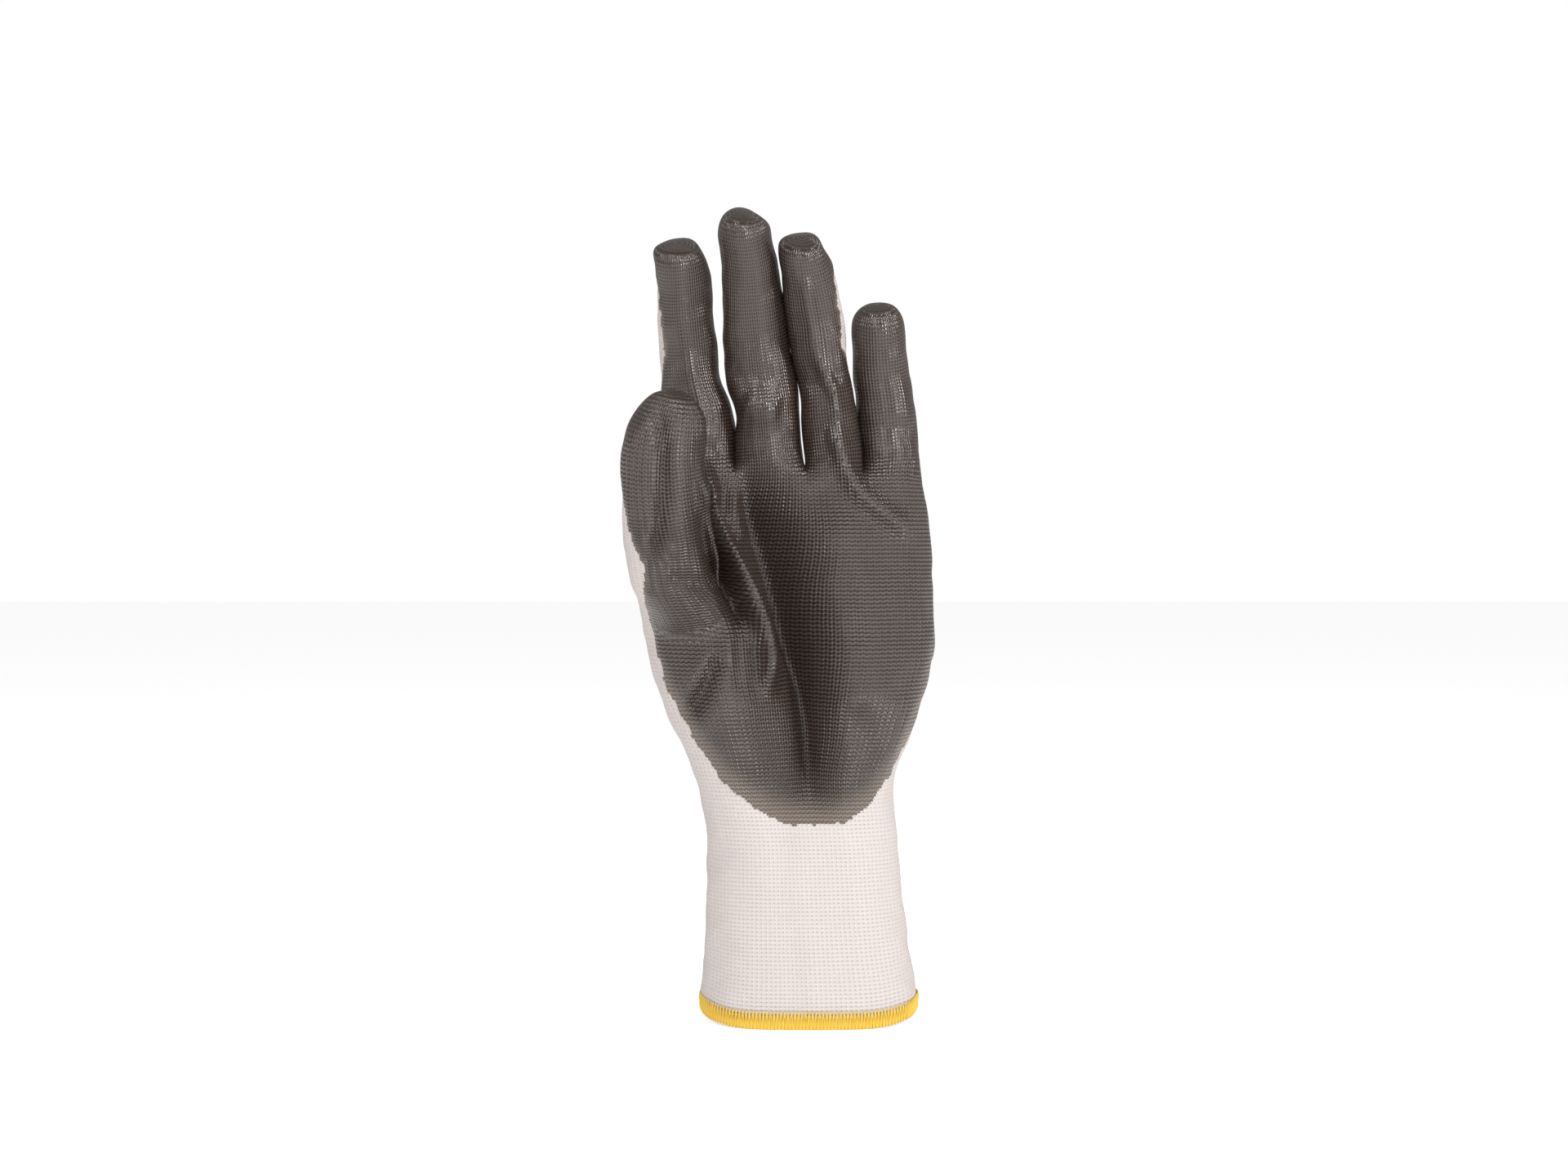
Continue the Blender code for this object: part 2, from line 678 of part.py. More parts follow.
def add_thumb(parent, parent_at, knit, coat):
    labels = ("base", "tip")
    for hinge, label in enumerate(labels):
        at, direction, axis, towards, _ = thumb_hinge(hinge)
        before, after = thumb_edge(hinge, False), thumb_edge(hinge, True)
        band = band_surface(before, after, direction, direction, flip=True)
        shell(f"thumb_{label}_bend", band, parent_at, parent, knit, KNIT)
        pivot = pivot_empty(f"thumb_{label}_pivot", at, parent, parent_at)
        surface = Surface()
        low = surface.add(thumb_edge(hinge, after=True))
        if label != "tip":
            high = surface.add(thumb_edge(hinge + 1, after=False))
            surface.strip(low, high, thumb_coated)
        else:
            loop = low
            for share in (0.84, 0.92, 0.98):
                size = (1 - ((share - 0.76) / 0.24) ** 2.3) ** (1 / 2.3)
                centre, direction, width, depth = thumb_spot(share)
                points = [centre + (p - centre) * size for p in thumb_ring_at(share)]
                following = surface.add(points)
                surface.strip(loop, following, lambda k: True)
                loop = following
            surface.cap(loop, Vector(THUMB_LINE[-1]), True)
        surface.faces = [tuple(reversed(f)) for f in surface.faces]
        shell(f"thumb_{label}_knit", surface, at, pivot, knit, KNIT)
        shell(f"thumb_{label}_coating", surface, at, pivot, coat, COAT, outward=True, only_coated=True)
        parent, parent_at = pivot, at


clear_scene()
add_objects()
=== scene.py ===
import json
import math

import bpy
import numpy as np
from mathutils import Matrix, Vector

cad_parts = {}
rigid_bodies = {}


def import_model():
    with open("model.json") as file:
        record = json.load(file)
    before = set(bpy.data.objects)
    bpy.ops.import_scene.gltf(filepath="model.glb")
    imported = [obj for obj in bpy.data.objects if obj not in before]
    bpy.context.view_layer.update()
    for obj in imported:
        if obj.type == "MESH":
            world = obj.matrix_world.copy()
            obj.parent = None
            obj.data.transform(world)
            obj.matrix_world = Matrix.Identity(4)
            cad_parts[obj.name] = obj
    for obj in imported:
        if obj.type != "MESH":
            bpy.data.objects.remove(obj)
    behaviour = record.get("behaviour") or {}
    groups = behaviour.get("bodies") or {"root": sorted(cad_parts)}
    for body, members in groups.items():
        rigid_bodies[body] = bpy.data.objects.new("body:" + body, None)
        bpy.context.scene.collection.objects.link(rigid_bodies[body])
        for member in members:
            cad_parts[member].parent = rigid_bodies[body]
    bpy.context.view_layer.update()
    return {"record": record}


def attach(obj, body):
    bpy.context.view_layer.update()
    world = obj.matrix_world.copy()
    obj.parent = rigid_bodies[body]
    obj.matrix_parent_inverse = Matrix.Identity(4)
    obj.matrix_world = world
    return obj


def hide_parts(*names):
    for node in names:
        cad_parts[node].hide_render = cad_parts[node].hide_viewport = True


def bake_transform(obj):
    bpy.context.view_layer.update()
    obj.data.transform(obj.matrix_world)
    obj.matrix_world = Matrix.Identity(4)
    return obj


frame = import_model()

# The looks of a knitted work glove with a dipped palm. The surface of the glove is one sheet of quads: a tube
# for the cuff and palm, with the thumb and four fingers grown on. Subdivision smooths it, then lumps, slack
# and folds move its points. It is cut between the bends into pieces, each with a knit layer and, on the palm
# side, a coating layer just above the knit. Lengths here are in millimetres until a mesh is made.

MM = 0.001
TWO_PI = 2 * math.pi

# ---- the stitches ----

WALE = 2.03  # width of a stitch
COURSE = 1.2  # height of a row of stitches on the cuff and palm
FINGER_COURSE = 1.08  # height of a row on the fingers and thumb

# ---- the cuff and palm ----

# Outline of the hand tube by height: height, thumb side, little-finger side, palm face, back face.
TUBE = (
    (0, -32.2, 32.6, -21.6, 21.6),
    (5, -33, 33.4, -21.6, 21.6),
    (12, -32.2, 32.2, -21, 21.2),
    (24, -31.7, 30.4, -20.4, 20.8),
    (38, -31.1, 28.7, -20.2, 20.6),
    (54, -31.1, 27.4, -20, 20.4),
    (64, -32.6, 26.3, -20.2, 20),
    (73, -34.8, 25.9, -20.6, 19.6),
    (82, -38.7, 30.4, -21.2, 19),
    (92, -44.1, 34.2, -21.2, 18.2),
    (102, -47.2, 36.9, -20.4, 17.4),
    (114, -50.4, 39, -18.6, 16.6),
    (126, -51.2, 38.2, -16.4, 15.6),
    (136, -48.6, 37.8, -14.6, 14.8),
    (150, -45.8, 36.5, -13, 13.8),
    (162, -44.4, 34.7, -12.2, 12.8),
)
TUBE_SQUARENESS = 2.6  # 2 is an ellipse, and more is squarer
CORNER = 0.9  # share of the half width that the front and back columns reach
LANES = (-CORNER, -0.43, 0.10, 0.53, CORNER)  # edges of the four fingers' lanes across the tube
LANE_COLUMNS = 4
# The tube's columns, counted round it: front from the thumb side (-X), side, back, side.
FRONT_LAST = 4 * LANE_COLUMNS
RIGHT_SIDE = FRONT_LAST + 1
BACK_LAST = RIGHT_SIDE + FRONT_LAST + 1
LEFT_SIDE = BACK_LAST + 1
TUBE_COLUMNS = LEFT_SIDE + 1
# Columns that the thumb's root takes, from front to back round the side.
THUMB_ROOT = (5, 4, 3, 2, 1, 0, LEFT_SIDE, BACK_LAST, BACK_LAST - 1)
# Millimetres inside the coating's edge for each column of the tube, near the crotch.
TUBE_COAT = [7.0] * (FRONT_LAST + 1) + [1.0] + [-7.0] * (FRONT_LAST + 1) + [1.0]
# Where the palm swells out or hollows: name, x, z, width, height, how far out.
SWELLINGS = (
    ("thenar", -27.0, 106.0, 15.0, 30.0, 10.0),
    ("hypothenar", 20.0, 100.0, 15.0, 28.0, 4.0),
    ("palm_hollow", -6.0, 112.0, 9.0, 40.0, -4.0),
)
CROTCH_Z = 162.0  # height at which the fingers part
# Heights of the tube's rows of quads, by piece.
CUFF_ROWS = (2.5, 6.5, 12.0, 19.0, 27.0, 36.0)
WRIST_ROWS = (45.0, 52.0, 58.0, 63.0, 68.0, 75.0)
PALM_ROWS = (82.0, 90.0, 98.0, 105.0, 111.0)
THUMB_ROW = 126.0  # row from which the thumb grows
STITCH_ROW = 120.0  # height at which the stitches round the tube are counted
# Heights of the lower and upper sides of the thumb's root, from front to back.
THUMB_FOOT = (118.5, 115.5, 114.5, 115.0, 118.0, 124.0, 130.0)
WEB = (124.5, 127.0, 129.5, 131.5, 133.5, 135.5, 137.5, 138.0, 135.0)
WEB_GAP = 3.0  # least height of the next row above the web
LEVEL_FROM = 150.0  # above this height the rows are level again
UPPER_ROWS = (136.0, 145.0, 153.5)

# ---- the fingers and thumb ----

# root: x and y at the crotch. lean: degrees to the side. bends: degrees at each hinge at rest. hinges and
# length: from the crotch. widths and depths: halves, at the root, middle and tip. blunt: 2 is a round tip,
# and more is squarer. coat_turn: degrees that the coating turns round the finger's upper half.
FINGERS = {
    "index": {
        "root": (-32.4, 1.0), "lean": 4.7, "bends": (5.0, 12.0, 9.0), "hinges": (10.0, 34.0, 54.5),
        "length": 69.6, "widths": (11.2, 8.1, 6.9), "depths": (10.2, 9.2, 8.0),
        "blunt": 3.6, "coat_turn": -52.0,
    },
    "middle": {
        "root": (-11.4, -1.0), "lean": 5.8, "bends": (6.0, 13.0, 9.0), "hinges": (10.0, 38.0, 61.0),
        "length": 80.0, "widths": (9.9, 9.1, 7.5), "depths": (10.2, 9.5, 8.2),
        "blunt": 2.6, "coat_turn": 0.0,
    },
    "ring": {
        "root": (8.3, -1.6), "lean": 8.4, "bends": (6.0, 13.0, 10.0), "hinges": (10.0, 35.0, 55.5),
        "length": 72.0, "widths": (8.2, 8.2, 7.0), "depths": (9.6, 9.0, 7.8),
        "blunt": 3.4, "coat_turn": 50.0,
    },
    "little": {
        "root": (24.8, 2.2), "lean": 5.4, "bends": (4.0, 10.0, 8.0), "hinges": (10.0, 25.5, 37.5),
        "length": 51.0, "widths": (8.6, 8.3, 7.4), "depths": (9.0, 8.6, 7.6),
        "blunt": 2.3, "coat_turn": 0.0,
    },
}
FINGER_COLUMNS = 12
FINGER_LIFT = 0.955  # how far smoothing draws in a ring of twelve columns
FIRST_RING = 4.5  # from the crotch to a finger's first ring
HINGE_ROUNDING = 4.0  # reach over which a finger's line rounds its hinges
TIP_ROUNDING = 1.12  # height of a finger's rounded tip, in half widths
TIP_SHARE = 0.92  # share of the length from which a finger no longer narrows
COAT_WRAP = 0.22  # how far past a finger's side the coating wraps, in half depths
THUMB_LINE = (
    (-37.4, -18.0, 126.0), (-39.6, -26.5, 138.0), (-41.2, -31.5, 152.0), (-41.4, -35.5, 168.0),
    (-38.6, -38.5, 185.5),
)
THUMB_WIDTHS = (13.4, 13.0, 12.2, 11.3, 8.6)
THUMB_DEPTHS = (12.0, 11.4, 10.8, 10.2, 8.6)
THUMB_COLUMNS = 16
THUMB_TWIST = 43.0  # degrees from the thumb's front to its first column
THUMB_LIFT = 0.975  # how far smoothing draws in a ring of sixteen columns
THUMB_STOPS = (0.14, 0.22, 0.30, 0.38, 0.44, 0.51, 0.58, 0.65, 0.72, 0.78)  # rings, as shares of the length
THUMB_SPLIT = 0.44  # where the thumb's base ends and its tip begins
THUMB_ROUND_FROM = 0.78
THUMB_BLUNT = 2.5
# Degrees of the thumb's side that the coating leaves bare, by share of the length.
THUMB_BARE_SIDE = (
    (0.0, 50.0), (0.15, 56.0), (0.26, 55.0), (0.42, 36.0), (0.58, 20.0), (0.70, -5.0), (0.8, -54.0),
)
THUMB_COAT_TO = 203.0  # degrees round the thumb at which the coating ends on its other side
THUMB_COAT_SLOPE = 0.2  # millimetres for each degree
TIP_ROWS = 4.0  # rows of stitches from the last ring to the middle of a tip
TIP_COAT, TIP_COAT_GAIN = 12.0, 14.0  # how far inside the coating's edge a tip lies
TIP_SIZE = 0.99  # a ring smaller than this share of its finger belongs to the tip

# ---- folds and lumps ----

FOLD_LEAN = 0.34  # folds lean over towards the little finger by this much of their height
FOLD_FACING = (-0.05, 0.38)  # folds grow from none to full as the fabric turns to face forwards
FACING_ROUNDS, PUSH_ROUNDS = 6, 3  # rounds of averaging with the neighbours
# Each fold: name, reach to either side, height, and the (x, z) points of its line.
VALLEYS = (
    ("main", 7, 6.4, (-20.4, 170), (-15, 152), (-8.6, 132), (-3.6, 112), (-0.4, 92), (1.2, 54)),
    ("main_left", 3, 3.6, (-20.6, 168), (-16, 150), (-10.4, 131), (-6, 114), (-1.8, 95), (0.2, 60)),
    ("thumb_hollow", 2.5, 8.2, (-28.6, 158), (-28.2, 144), (-25.4, 133), (-20.6, 123.5), (-17.4, 115)),
    ("thenar_slant", 2.5, 4, (-24.8, 111), (-28.6, 101.5), (-35.5, 89.5)),
    ("thenar_short_a", 1.4, 1.1, (-21.4, 116), (-20.4, 107), (-20, 98)),
    ("thenar_short_b", 1.4, 1, (-17, 114), (-16.2, 106), (-15.8, 97)),
    ("thumb_crease", 1.9, 2.5, (-43.4, 183), (-41.6, 174), (-41.2, 161), (-42, 147), (-45.4, 134)),
    ("thumb_foot", 2.6, 1.4, (-41, 131.5), (-35.5, 131), (-30.5, 128.5), (-26, 125.5)),
    ("palm_pinch", 3.6, 1.1, (7, 135), (11.5, 124), (15.5, 111)),
    ("palm_low", 3, 0.9, (13, 96), (16.5, 84), (18.5, 74)),
    ("index_base", 2.4, 1.3, (-30.4, 173), (-26.4, 160), (-20.4, 149)),
    ("ring_joint", 2.2, 1, (0.2, 186), (3.6, 190), (10, 189)),
    ("middle_joint", 2.8, 0.8, (-24, 191), (-16, 190), (-9, 192)),
    ("little_joint", 2.4, 0.7, (15, 175.5), (22, 176.5), (30, 174.5)),
)
RIDGES = (
    ("web", 2.2, 9.4, (-29.6, 168), (-29, 155), (-26.6, 144.5), (-21.8, 135.5),
     (-16.8, 126.5), (-13, 116), (-11.4, 106), (-12, 94)),
    ("ring_twist", 1.8, 2.2, (-2, 222), (0.6, 208), (2.6, 196), (7.6, 185), (8, 177), (4.8, 169)),
    ("middle_root", 4.2, 2.6, (-19.6, 183), (-15, 181), (-8, 179.5)),
    ("index_line", 2.8, 1, (-36.5, 228), (-36.6, 205), (-33, 186), (-31, 170)),
    ("thumb_front", 2.8, 1.2, (-35.2, 183), (-36, 166), (-36.6, 148), (-38, 134)),
    ("ring_to_palm", 2.6, 3.4, (7.6, 178), (10.4, 165), (15, 156), (23, 149.5), (32, 143)),
    ("thenar_edge", 2.3, 1.4, (-23.2, 118), (-24, 108), (-27, 98)),
    ("lobe_bunch", 1.6, 1.2, (-51.5, 166), (-49.6, 171.5), (-46.4, 176.5), (-43, 178)),
    ("index_pad", 2.6, 2.2, (-22, 157), (-20, 149), (-17.4, 142)),
    ("palm_swell", 9.5, 3.4, (4, 156), (10, 130), (13, 106), (14, 84)),
)
# Where the fabric is fuller or flatter than a plain finger: name, x, z, reach, push in x and z.
LUMPS = (
    ("index_tip_corner", -44, 227, 3.2, -1, 0.4),
    ("index_tip_right", -30, 229, 4, -1, -0.4),
    ("index_belly", -27, 180, 9, 2.2, 0),
    ("index_thumb_side", -44.5, 205, 12, -0.7, 0),
    ("middle_tip_right", -14, 238, 5, -0.8, -1.6),
    ("middle_thumb_side", -26, 222, 10, 1, 0),
    ("middle_joint_side", -24.6, 188, 7, -1.2, 0),
    ("ring_tip_left", -8.6, 229, 4.5, -0.8, 0.8),
    ("ring_tip_right", 6, 229, 4.5, -1.9, -1.2),
    ("ring_side", 9.6, 205, 10, 1.1, 0),
    ("ring_slit", -3, 186, 9, 1.2, 0),
    ("little_tip_left", 14, 205, 7, -0.9, 0.5),
    ("little_left", 14.6, 193, 8, -0.5, 0),
    ("little_side", 29.4, 195, 9, -0.7, 0),
)

# ---- slack and uneven edges: height, length and seed of each wave ----

RUMPLE = ((0.34, 15.0, 5), (0.10, 6.0, 6))
CUFF_RIBS = ((0.16, 9.0, 7),)
RIB_STRETCH = 0.12  # the cuff's waves run up and down it
COAT_WOBBLE = ((0.7, 7.0, 11), (0.45, 2.6, 12))

# ---- parts: their numbers, and the CAD nodes they replace where the names differ ----

CUFF, WRIST, PALM, THUMB_BASE, THUMB_TIP = 0, 1, 2, 3, 4
FIRST_FINGER = 10  # part of finger i, section s: FIRST_FINGER + 3 * i + s
SECTIONS = ("proximal", "middle", "tip")
NODES_OF = {
    "cuff": (("cuff_knit",), ()),
    "wrist": (("wrist_bend",), ()),
    "palm": (("palm_knit",), ("palm_coating",)),
}

# ---- layers ----

SUBDIVISIONS = 3
COAT_LIFT = 0.34  # coating above the knit
LAP = 1.6  # how far the knit goes on under the coating's edge
COAT_CORNER = 2.0  # rounding between the coating's lower edge and its edge along the hand's side
COAT_FOOT = 59.6  # height of the coating's lower edge at its middle
# The lower edge rises from the middle to each side: x where it starts, reach, rise over that reach, power.
THUMB_SIDE_RISE = (-0.5, 33.0, 25.6, 2.1)
LITTLE_SIDE_RISE = (3.0, 21.5, 15.0, 2.4)
# How far towards -X the coating reaches below the thumb: height, x.
LEFT_EDGE = (
    (82, -34), (89, -37.8), (96, -40.4), (103, -42.4), (110, -44.2), (118, -46), (125, -47.4), (133, -46.4),
)

# ---- bends, in metres: how far a piece's bend would reach to either side of its joint; no piece is bent here ----

WRIST_BEND, FINGER_BEND, LITTLE_BEND = 0.014, 0.007, 0.0053
# The thumb's bends: share of its length, and reach, which is longer above the joint.
THUMB_BENDS = {"thumb_base": (0.22, 0.007), "thumb_tip": (0.58, 0.008)}
THUMB_BEND_ABOVE = 1.2

# ---- hem and elastic ----

HEM_TALL, HEM_THICK = 3.5, 0.85
HEM_ROW = 3.0  # height of the cuff's outline that the hem follows
HEM_LIFT = 3.0  # how far the hem rises at the two sides of the cuff
HALF_CUFF = 32.0
HEM_RISE_FADE = 40.0  # height at which the rise has faded out
HEM_STEPS = 2400  # steps round the cuff that the thread's loops are placed by
LOOP_PITCH, LOOP_REACH, LOOP_THREAD = 1.02, 5.3, 0.2  # overlock loops: spacing, height, thread radius
LOOP_BELOW, LOOP_STEPS = 0.15, 12  # how far a loop reaches below the band, and its points
ELASTIC_TURNS, ELASTIC_THREAD = 7, 0.35
ELASTIC_FROM, ELASTIC_RISE = 9.0, 37.0

# ---- colours, gloss and relief ----

# The knit's gap colour is painted shade, darker where the stitches leave gaps.
KNIT_YARN, KNIT_GAP_SHADE = (0.47, 0.424, 0.405), (0.415, 0.373, 0.357)
# The coating's dip and crest colours are painted shade and painted highlight on the stitches.
COAT_PAINTED_DIP_SHADE, COAT_PAINTED_CREST_HIGHLIGHT, COAT_THIN = (0.0175, 0.0112, 0.0084), (0.066, 0.047, 0.038), (0.19, 0.15, 0.12)
HEM_YARN, HEM_ROUGHNESS = (0.83, 0.53, 0.035), 0.75
ELASTIC_YARN, ELASTIC_ROUGHNESS = (0.8, 0.8, 0.78), 0.7
KNIT_ROUGHNESS = 0.85
COAT_ROUGHNESS, ROUGHNESS_SPECKLE, EDGE_ROUGHNESS, TIGHT_GLOSS = 0.20, 0.16, 0.2, 0.11
KNIT_RELIEF, COAT_RELIEF, THREAD_RELIEF = 0.00013, 0.00030, 0.00012  # in metres

# ---- setting, in metres and watts ----

AIM = Vector((-0.0072, -0.012, 0.1283))
DISTANCE, ELEVATION, FRAME_WIDTH = 0.85, 1.5, 0.459
AMBIENT = 0.40
# Soft lights: name, place, size, power.
LIGHTS = (
    ("key", (0.80, -0.55, 0.50), (0.12, 0.5), 7.5),
    ("fill", (-0.70, -0.62, 0.55), (0.25, 0.5), 4.0),
    ("top", (0.15, -0.70, 0.90), (0.25, 0.2), 3.5),
    ("front", (0.12, -1.00, 0.42), (0.05, 0.6), 2.6),
)
FLOOR_HALF, FLOOR_GLOW = 4, 0.6


def add_object(name, data):
    """A new object in the scene."""
    made = bpy.data.objects.new(name, data)
    bpy.context.scene.collection.objects.link(made)
    return made


def mesh_object(name, points, faces, look):
    """A smoothly shaded object with one material, from points in millimetres."""
    mesh = bpy.data.meshes.new(name)
    mesh.from_pydata([tuple(c * MM for c in p) for p in points], [], faces)
    mesh.shade_smooth()
    mesh.materials.append(look)
    return add_object(name, mesh)


def smooth(low, high, value):
    """0 below low, 1 above high, and a smooth rise between them."""
    t = np.clip((value - low) / (high - low), 0.0, 1.0)
    return t * t * (3 - 2 * t)


def read_table(rows, at):
    """Each value of a table at one height, on a smooth curve through the table's rows."""
    if at <= rows[0][0]:
        return list(rows[0][1:])
    if at >= rows[-1][0]:
        return list(rows[-1][1:])
    i = next(k for k in range(len(rows) - 1) if rows[k + 1][0] > at)
    a, b = rows[i], rows[i + 1]
    before, after = rows[max(i - 1, 0)], rows[min(i + 2, len(rows) - 1)]
    span = b[0] - a[0]
    t = (at - a[0]) / span
    found = []
    for k in range(1, len(a)):
        slope_a = (b[k] - before[k]) / (b[0] - before[0]) * span
        slope_b = (after[k] - a[k]) / (after[0] - a[0]) * span
        found.append(
            (2 * t**3 - 3 * t**2 + 1) * a[k] + (t**3 - 2 * t**2 + t) * slope_a
            + (3 * t**2 - 2 * t**3) * b[k] + (t**3 - t**2) * slope_b
        )
    return found


def lane_share(column):
    """Where a front column lies across the tube, from -1 at the thumb side to 1."""
    if column == FRONT_LAST:
        return LANES[4]
    lane, step = divmod(column, LANE_COLUMNS)
    return LANES[lane] + (LANES[lane + 1] - LANES[lane]) * step / LANE_COLUMNS


def tube_point(z, column):
    """A point of the tube's outside, at a height and a column."""
    left, right, front, back = read_table(TUBE, z)
    middle_x, half, middle_y = (left + right) / 2, (right - left) / 2, (front + back) / 2
    if column == RIGHT_SIDE:
        share, depth = 1.0, middle_y
    elif column == LEFT_SIDE:
        share, depth = -1.0, middle_y
    elif column <= FRONT_LAST:
        share, depth = lane_share(column), front
    else:
        share, depth = lane_share(BACK_LAST - column), back
    fullness = max(0.0, 1 - abs(share) ** TUBE_SQUARENESS) ** (1 / TUBE_SQUARENESS)
    x, y = middle_x + half * share, middle_y + (depth - middle_y) * fullness
    if column <= FRONT_LAST:
        for _, at_x, at_z, width, height, reach in SWELLINGS:
            y -= reach * math.exp(-((x - at_x) / width) ** 2 - ((z - at_z) / height) ** 2)
    return Vector((x, y, z))


def tube_row(heights):
    """A ring of points round the tube, each column at its own height."""
    return [tube_point(z, column) for column, z in enumerate(heights)]


def finger_frame(spec):
    """Directions along a straight finger and across it."""
    lean = math.radians(spec["lean"])
    return Vector((-math.sin(lean), 0, math.cos(lean))), Vector((math.cos(lean), 0, math.sin(lean)))


def finger_corners(spec):
    """The finger's centre line: crotch, three hinges and tip."""
    up, _ = finger_frame(spec)
    stops = (0.0, *spec["hinges"], spec["length"])
    corners, angle = [Vector((*spec["root"], CROTCH_Z))], 0.0
    for bend, start, end in zip((0.0, *spec["bends"]), stops, stops[1:]):
        angle += math.radians(bend)
        step = up * math.cos(angle) - Vector((0, 1, 0)) * math.sin(angle)
        corners.append(corners[-1] + step * (end - start))
    return corners


def along(values, share):
    """Reads (root, middle, tip) values at a share of the length."""
    if share < 0.5:
        return values[0] + (values[1] - values[0]) * share * 2
    return values[1] + (values[2] - values[1]) * (share - 0.5) * 2


def finger_spot(spec, distance):
    """Centre and direction of the finger at a distance from the crotch."""
    corners = finger_corners(spec)
    stops = (0.0, *spec["hinges"], spec["length"])

    def on_line(s):
        s = min(max(s, 0.0), stops[-1])
        i = next(k for k in range(4) if s <= stops[k + 1])
        return corners[i].lerp(corners[i + 1], (s - stops[i]) / (stops[i + 1] - stops[i]))

    ahead, behind = on_line(distance + HINGE_ROUNDING), on_line(distance - HINGE_ROUNDING)
    centre = on_line(distance)
    if distance <= stops[-1] - HINGE_ROUNDING:
        centre = (centre + ahead + behind) / 3
    return centre, (ahead - behind).normalized()


def thumb_spot(share):
    """Centre, direction, half width and half depth of the thumb at a share of its length."""
    count = len(THUMB_LINE) - 1
    rows = [(i / count, *THUMB_LINE[i], THUMB_WIDTHS[i], THUMB_DEPTHS[i]) for i in range(count + 1)]
    x, y, z, width, depth = read_table(rows, share)
    ahead, behind = read_table(rows, min(1.0, share + 0.02)), read_table(rows, max(0.0, share - 0.02))
    return Vector((x, y, z)), (Vector(ahead[:3]) - Vector(behind[:3])).normalized(), width, depth


# ---- the cage: one sheet of quads for the whole glove, smoothed by subdivision ----


class Cage:
    """Points with a coating value, and quads with a part number and stitch coordinates."""

    def __init__(self):
        self.points, self.coat = [], []
        self.faces, self.corners_uv, self.part = [], [], []

    def add(self, points, coat=None):
        first = len(self.points)
        self.points.extend(points)
        self.coat.extend(coat or [0.0] * len(points))
        return list(range(first, first + len(points)))

    def quad(self, face, uv, part, flip):
        if flip:
            face.reverse()
            uv.reverse()
        self.faces.append(face)
        self.corners_uv.append(uv)
        self.part.append(part)

    def strip(self, lower, upper, u, v_low, v_high, part, flip=False):
        """A row of quads between two rings of points."""
        count = len(lower)
        for k in range(count):
            n = (k + 1) % count
            face = [lower[k], lower[n], upper[n], upper[k]]
            uv = [(u[k], v_low[k]), (u[k + 1], v_low[n]), (u[k + 1], v_high[n]), (u[k], v_high[k])]
            self.quad(face, uv, part, flip)

    def cap(self, loop, tip, u, v, v_tip, part, coat, flip=False):
        """Quads closing a ring of an even number of points round one end point."""
        top = self.add([tip], [coat])[0]
        for k in range(0, len(loop), 2):
            a, b, c = loop[k], loop[(k + 1) % len(loop)], loop[(k + 2) % len(loop)]
            face, uv = [a, b, c, top], [(u[k], v), (u[k + 1], v), (u[k + 2], v), (u[k + 1], v_tip)]
            self.quad(face, uv, part, flip)


def wale_counts(points):
    """Stitch coordinates round a ring of points, ending on a whole number."""
    steps = [(points[(k + 1) % len(points)] - points[k]).length for k in range(len(points))]
    total = max(8, round(sum(steps) / WALE))
    scale = total / sum(steps)
    found = [0.0]
    for step in steps:
        found.append(found[-1] + step * scale)
    return found


def build_cage():
    """The cuff, wrist and palm, row by row, with the rest grown on."""
    cage = Cage()
    tube_u = wale_counts(tube_row([STITCH_ROW] * TUBE_COLUMNS))
    heights = (*CUFF_ROWS, *WRIST_ROWS, *PALM_ROWS)
    parts = [CUFF] * len(CUFF_ROWS) + [WRIST] * len(WRIST_ROWS) + [PALM] * len(PALM_ROWS)
    low_z = [0.0] * TUBE_COLUMNS
    low = cage.add(tube_row(low_z))
    for z, part in zip(heights, parts):
        row = cage.add(tube_row([z] * TUBE_COLUMNS))
        row_z = [z / COURSE] * TUBE_COLUMNS
        cage.strip(low, row, tube_u, low_z, row_z, part)
        low, low_z = row, row_z
    add_palm_top(cage, low, low_z, tube_u)
    return cage


def add_palm_top(cage, low, low_z, tube_u):
    """From the row below the thumb to the crotch, with the thumb and fingers grown on."""
    z_of = [THUMB_ROW] * TUBE_COLUMNS
    for column, z in zip(THUMB_ROOT, (WEB[0], *THUMB_FOOT, WEB[-1])):
        z_of[column] = z
    split = cage.add(tube_row(z_of), TUBE_COAT)
    split_v = [z / COURSE for z in z_of]
    cage.strip(low, split, tube_u, low_z, split_v, PALM)

    inner = THUMB_ROOT[1:-1]
    web_points = [tube_point(z, c) for z, c in zip(WEB[1:-1], inner)]
    web = cage.add(web_points, [TUBE_COAT[c] for c in inner])
    above, above_v = list(split), list(split_v)
    for column, point, z in zip(inner, web, WEB[1:-1]):
        above[column], above_v[column] = point, z / COURSE
    for z in (*UPPER_ROWS, CROTCH_Z):
        row_z = [z] * TUBE_COLUMNS
        if z <= LEVEL_FROM:
            for column, web_z in zip(THUMB_ROOT, WEB):
                row_z[column] = max(z, web_z + WEB_GAP)
        row = cage.add(tube_row(row_z), TUBE_COAT)
        cage.strip(above, row, tube_u, above_v, [h / COURSE for h in row_z], PALM)
        above, above_v = row, [h / COURSE for h in row_z]
    add_fingers(cage, above, tube_u)
    add_thumb(cage, [split[c] for c in THUMB_ROOT] + web[::-1])


def tip_coat(size):
    """How much further inside the coating's edge a ring lies where it narrows to a tip."""
    return TIP_COAT_GAIN * (1 - size) ** 0.5 if size < TIP_SIZE else 0.0


